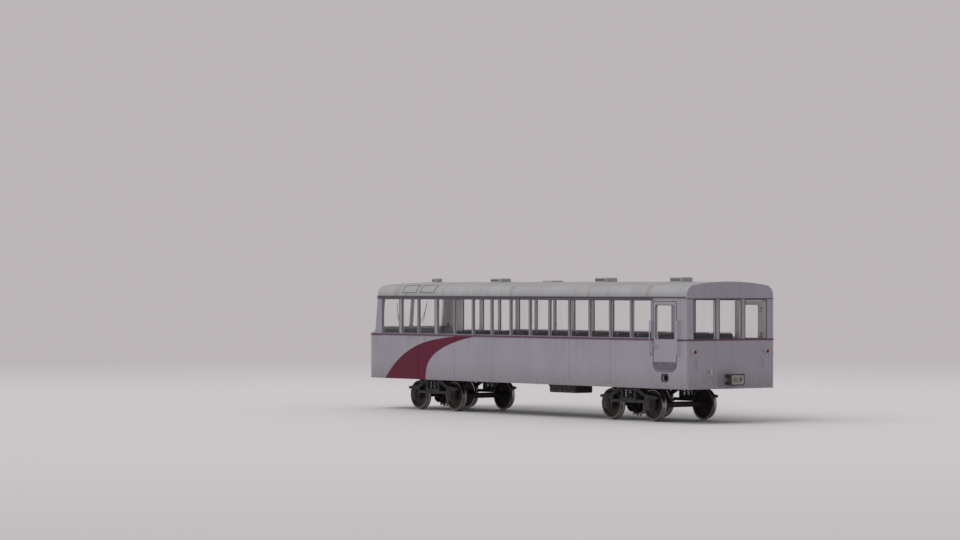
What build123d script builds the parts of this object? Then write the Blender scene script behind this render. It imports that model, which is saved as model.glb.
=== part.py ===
"""Cog railway coach: a light streamlined trailer car whose cog wheels brake it on a toothed rack.

Millimetres. X runs along the car with the front (uphill) end at -X, Y across it, Z up from the
lowest point of the wheel flanges. The origin is under the middle of the car's overall length.
"""
from build123d import *
import os
from math import acos, degrees, pi, sqrt

os.makedirs("parts", exist_ok=True)

# Wheels and axles
gauge = 1435
wheel_diameter = 700
wheel_width = 127
tread_taper = 5
flange_depth = 28
flange_width = 32
flange_root = 12
flange_play = 6
rim_thickness = 62
web_thickness = 28
hub_diameter = 190
hub_length = 150
axle_diameter = 130
journal_diameter = 100
journal_shoulder = 20
journal_length = 125

# Cogs and their brake drums
cog_teeth = 15
cog_pitch = 120
cog_addendum = 26
cog_dedendum = 32
tooth_root_width = 72
tooth_mid_width = 58
tooth_tip_width = 30
cog_disc_width = 32
cog_disc_gap = 24
cog_hub_diameter = 200
cog_holes = 5
cog_hole_diameter = 70
cog_hole_circle = 340
drum_diameter = 380
drum_width = 90
drum_place = 150
band_gap = 6
band_thickness = 12
hanger_thickness = 30

# Bogies
bogie_centres = 7600
wheelbase = 1500
side_frame_inner = 840
side_frame_width = 80
side_frame_half_length = 1010
pedestal_leg = 60
axle_box_width = 180
axle_box_height = 230
axle_box_depth = 130
axle_cap_diameter = 150
bolster_length = 300
bolster_height = 150
bolster_end_height = 100
spring_diameter = 120
spring_height = 210
spring_ribs = 5
spring_spacing = 150
pivot_diameter = 90
bowl_diameter = 360
bowl_height = 40

# Body outline
body_length = 12580
body_width = 2560
wall = 60
front_bow = 80
dash_corner_radius = 450
screen_corner_radius = 350
screen_setback = 250
screen_rake = 95
front_split = 800

# Heights above the rail head
skirt_height = 750
floor_height = 1100
belt_height = 1830
header_height = 2780
lamp_height = 1330

# Roof
roof_height = 370
crown_rise = 110
roof_radius = 230
roof_wall = 50
skylight_length = 560
skylight_width = 240
skylight_count = 2

# Floor and frame
floor_thickness = 60
frame_depth = 170
channel_web = 12
side_sill_width = 80
centre_sill_width = 300
cross_bearer_width = 90
cross_bearer_depth = 110
bay_bearers = (1, 7, 1)
body_bolster_length = 340
headstock_length = 120
front_overhang = 560

# Windscreen, side windows and doors
screen_opening_width = 880
screen_bar = 70
cowl_rise = 150
screen_sill = 55
screen_head = 60
first_post = 1620
post_pitch = 750
post_width = 60
wide_post_width = 120
wide_posts = (0, 2)
window_sill = 45
window_head = 38
window_radius = 35
glass_thickness = 8
glass_inset = 24
rear_window_width = 640
rear_window_spacing = 760
door_rear_margin = 350
doorway_width = 830
door_sill_rise = 30
door_head_drop = 60
door_bottom_radius = 200
door_gap = 6
door_rail = 100
toe_hole_length = 200
toe_hole_height = 130
toe_hole_radius = 50
toe_hole_above_skirt = 250
moulding_height = 42
moulding_depth = 12

# Door hinges and handrails
hinge_pin_diameter = 16
hinge_barrel_diameter = 34
hinge_offset = 20
hinge_height = 100
hinge_count = 3
hinge_low_margin = 60
hinge_high_margin = 210
handrail_diameter = 28
handrail_length = 760
handrail_reach = 60

# Seats
seat_width = 890
seat_depth = 430
seat_height = 430
cushion_thickness = 105
cushion_radius = 25
back_thickness = 80
back_lean = 60
tall_back = 890
low_back = 790
low_rows = 2
pan_thickness = 22
leg_width = 36
leg_depth = 300
wall_clearance = 20
soft_gap = 2

# Headlamp, drawgear
lamp_diameter = 250
lamp_rim = 20
lamp_proud = 35
lamp_depth = 90
drawgear_reach = 250
buffer_width = 420
buffer_height = 260
buffer_plate = 40
draw_pin_diameter = 44

# Running clearances
fit_gap = 0.3
press_gap = 0.15

# Places worked out from the sizes above
rail_z = flange_depth
overall_length = lamp_proud + body_length + drawgear_reach
front_x = lamp_proud - overall_length / 2
rear_x = front_x + body_length
half_width = body_width / 2
bow_radius = (half_width**2 + front_bow**2) / (2 * front_bow)
inner_half = half_width - wall
end_wall_x = rear_x - wall
split_x = front_x + front_split
skirt_z = rail_z + skirt_height
floor_z = rail_z + floor_height
belt_z = rail_z + belt_height
cowl_z = belt_z + cowl_rise
header_z = rail_z + header_height
crown_z = header_z + roof_height
shoulder_z = crown_z - crown_rise
roof_bow_x = front_x + screen_setback + screen_rake + bow_radius
roof_corner_y = half_width - screen_corner_radius
corner_reach = bow_radius - screen_corner_radius
roof_corner_x = roof_bow_x - sqrt(corner_reach**2 - roof_corner_y**2)
frame_top_z = floor_z - floor_thickness
frame_low_z = frame_top_z - frame_depth
wheel_radius = wheel_diameter / 2
wheel_z = rail_z + wheel_radius
body_middle_x = front_x + body_length / 2
bogie_places = {"front": body_middle_x - bogie_centres / 2, "rear": body_middle_x + bogie_centres / 2}
door_rear_x = rear_x - door_rear_margin
door_front_x = door_rear_x - doorway_width
window_count = int((door_front_x - post_width / 2 - front_x - first_post) / post_pitch)
post_x = [front_x + first_post + post_pitch * n for n in range(window_count + 1)]
window_low_z = belt_z + window_sill
window_high_z = header_z - window_head
window_mid_z = (window_low_z + window_high_z) / 2
window_height = window_high_z - window_low_z
door_mid_x = (door_front_x + door_rear_x) / 2
door_low_z = floor_z + door_sill_rise
door_high_z = header_z - door_head_drop
sides = {"left": 1, "right": -1}

# Ways that a solid stands on, or hangs from, the place given for it
hung = (Align.CENTER, Align.CENTER, Align.MAX)
standing = (Align.CENTER, Align.CENTER, Align.MIN)


def save(builder, name):
    """Label one finished node and write its file."""
    builder.part.label = name
    export_step(builder.part, f"parts/{name}.step")


def save_pieces(pieces, name):
    """Write one node of several solids that touch but stay apart."""
    node = Compound([solid for piece in pieces for solid in piece.solids()])
    node.label = name
    export_step(node, f"parts/{name}.step")


def plan_outline(z, front, corner_radius, inset):
    """Body outline seen from above: bowed front, rounded front corners, square rear."""
    half = half_width - inset
    nose_x = front_x + front + inset
    bow_x = nose_x + bow_radius - inset
    corner_x = bow_x - sqrt((bow_radius - inset) ** 2 - half**2)
    with BuildSketch(Plane.XY.offset(z)) as plan:
        with BuildLine():
            Polyline((corner_x, half), (end_wall_x, half), (end_wall_x, -half), (corner_x, -half))
            ThreePointArc((corner_x, -half), (nose_x, 0), (corner_x, half))
        make_face()
        fillet(plan.vertices().group_by(Axis.X)[0], corner_radius - inset)
    return plan.sketch


def dash_outline(z, inset):
    """Plan of the lower body, out to the dash."""
    return plan_outline(z, 0, dash_corner_radius, inset)


def screen_outline(z, inset):
    """Plan of the raked windscreen at a height between the cowl and the header."""
    rake = screen_rake * (z - cowl_z) / (header_z - cowl_z)
    return plan_outline(z, screen_setback + rake, screen_corner_radius, inset)


def side_plane(sign, inset, thickness):
    """Upright plane from which an extrusion of the thickness fills a side inwards of the inset."""
    outer_y = sign * (half_width - inset)
    return Plane.XZ.offset(-max(outer_y, outer_y - sign * thickness))


def section_outline(inset, low_z):
    """Outline across the car, X being its width: upright sides, round shoulders, shallow crown."""
    half = half_width - inset
    side_z = shoulder_z - inset
    with BuildSketch() as section:
        with BuildLine():
            Polyline((half, side_z), (half, low_z), (-half, low_z), (-half, side_z))
            ThreePointArc((-half, side_z), (0, crown_z - inset), (half, side_z))
        make_face()
        fillet(section.vertices().group_by(Axis.Y)[-1], roof_radius - inset)
    return section.sketch


def rim_profile(inset, radius):
    """The outer part of the section, from an axis at X = 0 out to a radius, flat past its crown."""
    half = half_width - inset
    with BuildSketch() as rim:
        with Locations((radius - half, 0)):
            add(section_outline(inset, header_z))
        with Locations((0, header_z)):
            if radius > half:
                Rectangle(radius - half, crown_z - inset - header_z, align=(Align.MIN, Align.MIN))
            Rectangle(radius, crown_z, align=(Align.MIN, Align.MIN), mode=Mode.INTERSECT)
    return rim.sketch


def rim_solid(x, y, inset, radius):
    """Turn the section's rim about an upright axis."""
    plane = Plane(origin=(x, y, 0), x_dir=(1, 0, 0), z_dir=(0, -1, 0))
    with BuildPart() as rim:
        revolve(rim_profile(inset, radius).moved(plane.location), axis=Axis((x, y, 0), (0, 0, 1)))
    return rim.part


def roof_sheet(low_x, high_x, low_y, high_y):
    """Roof shell between two stations and two widths: the section extruded, under the bow's own rim."""
    with BuildSketch(Plane.YZ.offset(low_x)) as band:
        add(section_outline(0, header_z))
        with Locations((low_y, 0)):
            Rectangle(high_y - low_y, 2 * crown_z, align=(Align.MIN, Align.MIN), mode=Mode.INTERSECT)
    with BuildPart() as hollow:
        with BuildSketch(Plane.YZ.offset(front_x)):
            add(section_outline(roof_wall, header_z))
        extrude(amount=body_length)
        add(rim_solid(roof_bow_x, 0, roof_wall, bow_radius - roof_wall), mode=Mode.INTERSECT)
    with BuildPart() as sheet:
        extrude(band.sketch, amount=high_x - low_x)
        add(rim_solid(roof_bow_x, 0, 0, bow_radius), mode=Mode.INTERSECT)
        add(hollow.part, mode=Mode.SUBTRACT)
    return sheet.part


def roof_corner_zone(sign):
    """Wedge outside a front corner's centre, between the side and the bow."""
    with BuildPart() as zone:
        with BuildSketch(Plane.XY.offset(header_z - wall)):
            with BuildLine():
                Polyline(
                    (roof_corner_x, sign * roof_corner_y),
                    (roof_corner_x, sign * body_width),
                    (roof_corner_x - body_width, sign * body_width),
                    (
                        roof_corner_x - (roof_bow_x - roof_corner_x) / corner_reach * body_width,
                        sign * roof_corner_y * (1 + body_width / corner_reach),
                    ),
                    close=True,
                )
            make_face()
        extrude(amount=crown_z)
    return zone.part


def roof_corner(sign):
    """Front corner of the roof: the shell's outer part turned about the corner's upright axis."""
    centre = (roof_corner_x, sign * roof_corner_y, 0)
    plane = Plane(origin=centre, x_dir=(0, sign, 0), z_dir=(sign, 0, 0))
    with BuildPart() as corner:
        with BuildSketch(plane):
            add(rim_profile(0, screen_corner_radius))
            add(rim_profile(roof_wall, screen_corner_radius - roof_wall), mode=Mode.SUBTRACT)
        revolve(axis=Axis(centre, (0, 0, sign)), revolution_arc=degrees(acos(roof_corner_y / corner_reach)))
    return corner.part


def door_outline(gap, low_z, high_z, low_radius):
    """Door or doorway outline seen from the side, with round bottom corners, set in by a gap."""
    with BuildSketch(Plane.XZ) as outline:
        with Locations((door_mid_x, (low_z + high_z) / 2)):
            Rectangle(doorway_width - 2 * gap, high_z - low_z - 2 * gap)
        fillet(outline.vertices().group_by(Axis.Z)[0], low_radius - gap)
    return outline.sketch


# Front dash with the sloping cowl under the windscreen and the lamp's hole
lamp_z = rail_z + lamp_height
with BuildPart() as front_dash:
    for inset, mode in ((0, Mode.ADD), (wall, Mode.SUBTRACT)):
        extrude(dash_outline(skirt_z, inset), amount=belt_z - skirt_z, mode=mode)
        loft([dash_outline(belt_z, inset), screen_outline(cowl_z, inset)], ruled=True, mode=mode)
    split(bisect_by=Plane.YZ.offset(split_x), keep=Keep.BOTTOM)
    with Locations(Location((front_x, 0, lamp_z), (0, 90, 0))):
        Cylinder(lamp_diameter / 2, 4 * wall, mode=Mode.SUBTRACT)
save(front_dash, "front_dash")

# Windscreen frame with two openings and solid corner posts, and its two panes
screen_centre_y = (screen_opening_width + screen_bar) / 2
screen_low_z = cowl_z + screen_sill
screen_high_z = header_z - screen_head
with BuildSketch(Plane.YZ.offset(front_x)) as screen_openings:
    with Locations(
        (-screen_centre_y, (screen_low_z + screen_high_z) / 2),
        (screen_centre_y, (screen_low_z + screen_high_z) / 2),
    ):
        RectangleRounded(screen_opening_width, screen_high_z - screen_low_z, window_radius)

with BuildPart() as windscreen_frame:
    for inset, mode in ((0, Mode.ADD), (wall, Mode.SUBTRACT)):
        loft([screen_outline(cowl_z, inset), screen_outline(header_z, inset)], ruled=True, mode=mode)
    split(bisect_by=Plane.YZ.offset(split_x), keep=Keep.BOTTOM)
    extrude(screen_openings.sketch, amount=front_split, mode=Mode.SUBTRACT)
save(windscreen_frame, "windscreen_frame")

with BuildPart() as windscreen_glass:
    for inset, mode in ((glass_inset, Mode.ADD), (glass_inset + glass_thickness, Mode.SUBTRACT)):
        loft([screen_outline(cowl_z, inset), screen_outline(header_z, inset)], ruled=True, mode=mode)
    split(bisect_by=Plane.YZ.offset(split_x), keep=Keep.BOTTOM)
    extrude(screen_openings.sketch, amount=front_split, mode=Mode.INTERSECT)
save(windscreen_glass, "windscreen_glass")

# Side window spans as pairs of X, from the windscreen frame back to the doorway
window_spans = [(split_x + post_width / 2, post_x[0] - wide_post_width / 2)]
for n in range(window_count):
    before = wide_post_width / 2 if n in wide_posts else post_width / 2
    after = wide_post_width / 2 if n + 1 in wide_posts else post_width / 2
    window_spans.append((post_x[n] + before, post_x[n + 1] - after))

for side, sign in sides.items():
    with BuildPart() as side_panel:
        with BuildSketch(side_plane(sign, 0, wall)):
            with Locations(((split_x + end_wall_x) / 2, (skirt_z + belt_z) / 2)):
                Rectangle(end_wall_x - split_x, belt_z - skirt_z)
            with Locations((door_mid_x, skirt_z + toe_hole_above_skirt)):
                RectangleRounded(toe_hole_length, toe_hole_height, toe_hole_radius, mode=Mode.SUBTRACT)
        extrude(amount=wall)
        extrude(
            door_outline(0, door_low_z, door_high_z, door_bottom_radius),
            amount=body_width,
            both=True,
            mode=Mode.SUBTRACT,
        )
    save(side_panel, f"side_panel_{side}")

    with BuildPart() as window_band:
        with BuildSketch(side_plane(sign, 0, wall)):
            with Locations(((split_x + end_wall_x) / 2, (belt_z + header_z) / 2)):
                Rectangle(end_wall_x - split_x, header_z - belt_z)
            for low_x, high_x in window_spans:
                with Locations(((low_x + high_x) / 2, window_mid_z)):
                    RectangleRounded(high_x - low_x, window_height, window_radius, mode=Mode.SUBTRACT)
            with Locations((door_mid_x, door_high_z)):
                Rectangle(
                    doorway_width,
                    2 * (door_high_z - belt_z),
                    mode=Mode.SUBTRACT,
                    align=(Align.CENTER, Align.MAX),
                )
        extrude(amount=wall)
    save(window_band, f"window_band_{side}")

with BuildPart() as side_glass:
    for sign in sides.values():
        with BuildSketch(side_plane(sign, glass_inset, glass_thickness)):
            for low_x, high_x in window_spans:
                with Locations(((low_x + high_x) / 2, window_mid_z)):
                    RectangleRounded(high_x - low_x, window_height, window_radius)
        extrude(amount=glass_thickness)
save(side_glass, "side_glass")

# Roof sheets behind the split line: a crown of two halves between shoulders that hold skylights
skylight_y = half_width - roof_radius * 0.3
skylight_z = shoulder_z - roof_radius * 0.22
skylight_places = [
    Location(((post_x[n] + post_x[n + 1]) / 2, sign * skylight_y, skylight_z), (-sign * 45, 0, 0))
    for n in range(skylight_count)
    for sign in sides.values()
]
crown_half = half_width - roof_radius
save_pieces(
    [
        roof_sheet(split_x, end_wall_x, 0, crown_half),
        roof_sheet(split_x, end_wall_x, -crown_half, 0),
    ],
    "roof",
)

shoulders = [
    roof_sheet(split_x, end_wall_x, crown_half, body_width),
    roof_sheet(split_x, end_wall_x, -body_width, -crown_half),
]
with BuildPart() as roof_shoulders:
    add(shoulders)
    with Locations(skylight_places):
        Box(skylight_length, skylight_width, 4 * roof_wall, mode=Mode.SUBTRACT)
save(roof_shoulders, "roof_shoulders")

with BuildPart() as skylights:
    with Locations(skylight_places):
        Box(skylight_length, skylight_width, 4 * roof_wall)
    add(shoulders, mode=Mode.INTERSECT)
save(skylights, "skylights")

# Domed front of the roof: the bow's own part, and two corners turned about their axes
with BuildPart() as roof_nose:
    add(roof_sheet(front_x, split_x, -body_width, body_width))
    for sign in sides.values():
        add(roof_corner_zone(sign), mode=Mode.SUBTRACT)
save_pieces([roof_nose.part] + [roof_corner(sign) for sign in sides.values()], "roof_front")

# Roof ventilators on the centreline: place behind the dash, length, width, height over the crown
vent_table = (
    (1410, 220, 220, 95),
    (4064, 430, 360, 90),
    (6135, 430, 360, 35),
    (8160, 470, 360, 100),
    (10880, 450, 360, 105),
)
vent_sink = 40
with BuildPart() as roof_vents:
    for place, length, width, height in vent_table:
        with BuildSketch(Plane.XY.offset(crown_z - vent_sink)):
            with Locations((front_x + place, 0)):
                RectangleRounded(length, width, 60)
        extrude(amount=vent_sink + height)
    fillet(roof_vents.edges().filter_by(lambda e: e.center().Z > crown_z + 30), 25)
    section = section_outline(0, header_z).moved(Plane.YZ.offset(front_x).location)
    extrude(section, amount=body_length, mode=Mode.SUBTRACT)
save(roof_vents, "roof_vents")

# Rear end wall with three windows, and their glass
rear_openings = [-rear_window_spacing, 0, rear_window_spacing]
with BuildPart() as rear_wall:
    extrude(section_outline(0, skirt_z).moved(Plane.YZ.offset(end_wall_x).location), amount=wall)
    with BuildSketch(Plane.YZ.offset(end_wall_x)):
        for y in rear_openings:
            with Locations((y, window_mid_z)):
                RectangleRounded(rear_window_width, window_height, window_radius)
    extrude(amount=wall, mode=Mode.SUBTRACT)
save(rear_wall, "rear_wall")

with BuildPart() as rear_glass:
    with BuildSketch(Plane.YZ.offset(rear_x - glass_inset - glass_thickness)):
        for y in rear_openings:
            with Locations((y, window_mid_z)):
                RectangleRounded(rear_window_width, window_height, window_radius)
    extrude(amount=glass_thickness)
save(rear_glass, "rear_glass")

# Belt and header mouldings along each side, broken at the doorway
with BuildPart() as side_mouldings:
    for sign in sides.values():
        for z, end_x in ((belt_z, door_front_x - door_gap), (header_z - moulding_height, door_front_x)):
            with Locations((split_x, sign * (half_width + moulding_depth / 2), z)):
                Box(
                    end_x - split_x,
                    moulding_depth,
                    moulding_height,
                    align=(Align.MIN, Align.CENTER, Align.MIN),
                )
save(side_mouldings, "side_mouldings")

# Floor plate
with BuildPart() as floor:
    extrude(dash_outline(frame_top_z, wall), amount=floor_thickness)
save(floor, "floor")

# Underframe: a bolster over each bogie and a headstock at each end divide it into three bays
frame_front_x = front_x + front_overhang
frame_mid_z = (frame_low_z + frame_top_z) / 2
sill_inner = inner_half - side_sill_width
plate_drop = 18
pivot_drop = plate_drop + bowl_height + bolster_height - 20
bay_ends = [frame_front_x + headstock_length]
for bogie_x in bogie_places.values():
    bay_ends.append(bogie_x - body_bolster_length / 2)
    bay_ends.append(bogie_x + body_bolster_length / 2)
bay_ends.append(end_wall_x - headstock_length)
bays = list(zip(bay_ends[::2], bay_ends[1::2]))
bearer_x = []
for (bay_front_x, bay_rear_x), count in zip(bays, bay_bearers):
    bearer_step = (bay_rear_x - bay_front_x) / (count + 1)
    bearer_x.append([bay_front_x + bearer_step * (n + 1) for n in range(count)])

# Side sills welded up from a web and two flanges, and a box sill down the middle of each bay
with BuildPart() as sill_flanges:
    with BuildSketch(Plane.YZ.offset(frame_front_x)):
        for y in (sill_inner + side_sill_width / 2, -sill_inner - side_sill_width / 2):
            for z in (frame_low_z + channel_web / 2, frame_top_z - channel_web / 2):
                with Locations((y, z)):
                    Rectangle(side_sill_width, channel_web)
    extrude(amount=end_wall_x - frame_front_x)
save(sill_flanges, "sill_flanges")

with BuildPart() as frame_sills:
    with BuildSketch(Plane.YZ.offset(frame_front_x)):
        for sign in sides.values():
            with Locations((sign * (sill_inner + channel_web / 2), frame_mid_z)):
                Rectangle(channel_web, frame_depth - 2 * channel_web)
    extrude(amount=end_wall_x - frame_front_x)
    for bay_front_x, bay_rear_x in bays:
        with BuildSketch(Plane.YZ.offset(bay_front_x)):
            with Locations((0, frame_mid_z)):
                Rectangle(centre_sill_width, frame_depth)
                Rectangle(
                    centre_sill_width - 2 * channel_web,
                    frame_depth - 2 * channel_web,
                    mode=Mode.SUBTRACT,
                )
        extrude(amount=bay_rear_x - bay_front_x)
save(frame_sills, "frame_sills")

bearer_length = sill_inner - centre_sill_width / 2
bearer_y = (sill_inner + centre_sill_width / 2) / 2
bearer_stations = [x for row in bearer_x for x in row]
bearer_places = [(x, sign * bearer_y, frame_top_z) for x in bearer_stations for sign in sides.values()]
with BuildPart() as cross_bearers:
    with Locations(bearer_places):
        Box(cross_bearer_width, bearer_length, cross_bearer_depth, align=hung)
    with Locations((frame_front_x, 0, frame_low_z), (end_wall_x - headstock_length, 0, frame_low_z)):
        Box(headstock_length, 2 * sill_inner, frame_depth, align=(Align.MIN, Align.CENTER, Align.MIN))
save(cross_bearers, "cross_bearers")

with BuildPart() as body_bolsters:
    with Locations([(x, 0, frame_low_z) for x in bogie_places.values()]):
        Box(body_bolster_length, 2 * sill_inner, frame_depth, align=standing)
        Cylinder(bowl_diameter / 2, plate_drop, align=hung)
        Cylinder(pivot_diameter / 2, pivot_drop, align=hung)
save(body_bolsters, "body_bolsters")

# Rear buffer with its drawbar pocket, and the front towing eye
pocket_gap = 60
pocket_plate = 35
buffer_x = rear_x + drawgear_reach
pin_x = rear_x + drawgear_reach / 2
coupling_z = frame_mid_z
with BuildPart() as rear_buffer:
    with BuildSketch(Plane.YZ.offset(buffer_x - buffer_plate)):
        with Locations((0, coupling_z)):
            RectangleRounded(buffer_width, buffer_height, 50)
            Rectangle(buffer_width / 2, pocket_gap, mode=Mode.SUBTRACT)
    extrude(amount=buffer_plate)
    for way in (1, -1):
        with Locations((rear_x, 0, coupling_z + way * (pocket_gap + pocket_plate) / 2)):
            Box(
                drawgear_reach - buffer_plate,
                buffer_width / 2,
                pocket_plate,
                align=(Align.MIN, Align.CENTER, Align.CENTER),
            )
    with Locations((pin_x, 0, coupling_z)):
        Cylinder(draw_pin_diameter / 2, 4 * pocket_gap, mode=Mode.SUBTRACT)
save(rear_buffer, "rear_buffer")

tow_length = 170
tow_x = frame_front_x - tow_length / 2
with BuildPart() as front_tow_eye:
    for lug_z in (coupling_z + pocket_gap / 2, coupling_z - pocket_gap / 2 - pocket_plate):
        with BuildSketch(Plane.XY.offset(lug_z)):
            with Locations((tow_x, 0)):
                Circle(80)
            with Locations((frame_front_x, 0)):
                Rectangle(tow_length / 2, 160, align=(Align.MAX, Align.CENTER))
        extrude(amount=pocket_plate)
    with Locations((frame_front_x, 0, coupling_z)):
        Box(20, 160, pocket_gap + 2 * pocket_plate, align=(Align.MAX, Align.CENTER, Align.CENTER))
    with Locations((tow_x, 0, coupling_z)):
        Cylinder(draw_pin_diameter / 2, 4 * pocket_gap, mode=Mode.SUBTRACT)
save(front_tow_eye, "front_tow_eye")

# Doors hinged at their rear edge and opening inwards, with their panes and hinges
hinge_x = door_rear_x - door_gap / 2
hinge_y = inner_half - hinge_offset
hinge_low_z = door_low_z + door_bottom_radius + hinge_low_margin
hinge_step = (door_high_z - hinge_high_margin - hinge_low_z) / (hinge_count - 1)
hinge_z = [hinge_low_z + hinge_step * n for n in range(hinge_count)]
pane_low_z = belt_z + window_sill
pane_high_z = door_high_z - door_rail
for side, sign in sides.items():
    pane_size = (doorway_width - 2 * door_rail, pane_high_z - pane_low_z, window_radius)
    with BuildPart() as door:
        with BuildSketch(Plane.XZ) as leaf:
            with Locations((door_mid_x, (door_low_z + door_high_z) / 2)):
                Rectangle(doorway_width - 2 * door_gap, door_high_z - door_low_z - 2 * door_gap)
            fillet(leaf.vertices().group_by(Axis.Y)[0], door_bottom_radius - door_gap)
            with Locations((door_mid_x, (pane_low_z + pane_high_z) / 2)):
                RectangleRounded(*pane_size, mode=Mode.SUBTRACT)
        extrude(leaf.sketch.moved(Location((0, side_plane(sign, 0, wall).origin.Y, 0))), amount=wall)
        for z in hinge_z:
            with Locations((hinge_x, sign * hinge_y, z)):
                Cylinder(hinge_barrel_diameter / 2, hinge_height / 3)
            with Locations((hinge_x, sign * (hinge_y + hinge_offset / 2), z)):
                Box(
                    hinge_barrel_diameter * 2,
                    hinge_offset,
                    hinge_height / 3,
                    align=(Align.MAX, Align.CENTER, Align.CENTER),
                )
            with Locations((hinge_x, sign * hinge_y, z)):
                Cylinder(hinge_pin_diameter / 2 + fit_gap / 3, hinge_height, mode=Mode.SUBTRACT)
    save(door, f"door_{side}")

    with BuildPart() as door_glass:
        with BuildSketch(side_plane(sign, glass_inset, glass_thickness)):
            with Locations((door_mid_x, (pane_low_z + pane_high_z) / 2)):
                RectangleRounded(*pane_size)
        extrude(amount=glass_thickness)
    save(door_glass, f"door_glass_{side}")

leaf_knuckle = hinge_height / 3
jamb_knuckle = leaf_knuckle - 2
with BuildPart() as door_hinges:
    for sign in sides.values():
        knuckle_z = [z + way * (leaf_knuckle + 1) for z in hinge_z for way in (1, -1)]
        with Locations([(hinge_x, sign * hinge_y, z) for z in hinge_z]):
            Cylinder(hinge_pin_diameter / 2, hinge_height)
        with Locations([(hinge_x, sign * hinge_y, z) for z in knuckle_z]):
            Cylinder(hinge_barrel_diameter / 2, jamb_knuckle)
        with Locations([(hinge_x, sign * (inner_half - hinge_offset / 2), z) for z in knuckle_z]):
            Box(
                hinge_barrel_diameter * 2,
                hinge_offset,
                jamb_knuckle,
                align=(Align.MIN, Align.CENTER, Align.CENTER),
            )
save(door_hinges, "door_hinges")

# Handrails beside the doorways
handrail_x = (door_front_x - 45, door_rear_x + 70)
handrail_z = belt_z + 60
with BuildPart() as door_handrails:
    for sign in sides.values():
        for x in handrail_x:
            with BuildLine(Plane.YZ.offset(x)):
                FilletPolyline(
                    (sign * half_width, handrail_z - handrail_length / 2),
                    (sign * (half_width + handrail_reach), handrail_z - handrail_length / 2),
                    (sign * (half_width + handrail_reach), handrail_z + handrail_length / 2),
                    (sign * half_width, handrail_z + handrail_length / 2),
                    radius=handrail_reach / 2,
                )
            with BuildSketch(Plane.XZ.offset(-sign * half_width)):
                with Locations((x, handrail_z - handrail_length / 2)):
                    Circle(handrail_diameter / 2)
            sweep()
save(door_handrails, "door_handrails")

# Seats: two low rows ahead of the tall ones, a double seat each side of the gangway
seat_backs_x = [post_x[n + 1] for n in range(window_count)]
seat_y = inner_half - wall_clearance - seat_width / 2
pan_z = floor_z + seat_height - cushion_thickness
seat_places = [(x, sign * seat_y) for x in seat_backs_x for sign in sides.values()]
back_reach = back_thickness + back_lean
with BuildPart() as seat_frames:
    with Locations([(x, y, pan_z) for x, y in seat_places]):
        Box(seat_depth + back_reach, seat_width, pan_thickness, align=(Align.MAX, Align.CENTER, Align.MAX))
    leg_y = seat_width / 2 - 120
    with Locations([(x - back_reach, y + way * leg_y, floor_z) for x, y in seat_places for way in (1, -1)]):
        Box(leg_depth, leg_width, pan_z - floor_z - pan_thickness, align=(Align.MAX, Align.CENTER, Align.MIN))
save(seat_frames, "seat_frames")

with BuildPart() as seat_cushions:
    for row_y in (seat_y, -seat_y):
        with BuildSketch(Plane.XZ.offset(-row_y - seat_width / 2)) as profile:
            with Locations([(x - back_reach - soft_gap, pan_z) for x in seat_backs_x]):
                Rectangle(seat_depth - soft_gap, cushion_thickness, align=(Align.MAX, Align.MIN))
            fillet(profile.vertices().group_by(Axis.Y)[-1], cushion_radius)
        extrude(amount=seat_width)
save(seat_cushions, "seat_cushions")

with BuildPart() as seat_backs:
    for row_y in (seat_y, -seat_y):
        for low, high, top_z in (
            (0, low_rows, floor_z + low_back),
            (low_rows, window_count, floor_z + tall_back),
        ):
            with BuildSketch(Plane.XZ.offset(-row_y - seat_width / 2)) as profile:
                for x in seat_backs_x[low:high]:
                    with BuildLine():
                        Polyline(
                            (x - back_reach, pan_z),
                            (x - back_lean, pan_z),
                            (x, top_z),
                            (x - back_thickness * 0.8, top_z),
                            close=True,
                        )
                    make_face()
                fillet(profile.vertices().group_by(Axis.Y)[-1], cushion_radius)
            extrude(amount=seat_width)
save(seat_backs, "seat_backs")

# Attendant's desk, hand brake and stool behind the windscreen
desk_front_x = front_x + wall + dash_corner_radius
desk_depth = 260
desk_width = 1300
desk_height = 760
with BuildPart() as control_desk:
    with BuildSketch(Plane.XZ.offset(-desk_width / 2)):
        with BuildLine():
            Polyline(
                (desk_front_x, floor_z),
                (desk_front_x + desk_depth - 80, floor_z),
                (desk_front_x + desk_depth, floor_z + desk_height - 160),
                (desk_front_x + desk_depth, floor_z + desk_height - 60),
                (desk_front_x, floor_z + desk_height),
                close=True,
            )
        make_face()
    extrude(amount=desk_width)
save(control_desk, "control_desk")

brake_x = desk_front_x + desk_depth + 260
brake_y = 480
brake_wheel_diameter = 400
brake_wheel_height = 920
with BuildPart() as hand_brake:
    with Locations((brake_x, brake_y, floor_z)):
        Cylinder(90, 20, align=standing)
        Cylinder(28, brake_wheel_height, align=standing)
    with Locations((brake_x, brake_y, floor_z + brake_wheel_height)):
        Torus(brake_wheel_diameter / 2, 14)
        with PolarLocations(0, 4):
            Box(brake_wheel_diameter / 2, 24, 14, align=(Align.MIN, Align.CENTER, Align.CENTER))
        Cylinder(42, 36)
save(hand_brake, "hand_brake")

stool_x = brake_x + 40
stool_y = -480
stool_height = 560
with BuildPart() as attendant_stool:
    with Locations((stool_x, stool_y, floor_z)):
        Cylinder(150, 16, align=standing)
        Cylinder(30, stool_height, align=standing)
    with Locations((stool_x, stool_y, floor_z + stool_height)):
        Cylinder(180, 60, align=standing)
    fillet(attendant_stool.edges().group_by(Axis.Z)[-1], 20)
save(attendant_stool, "attendant_stool")

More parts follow.
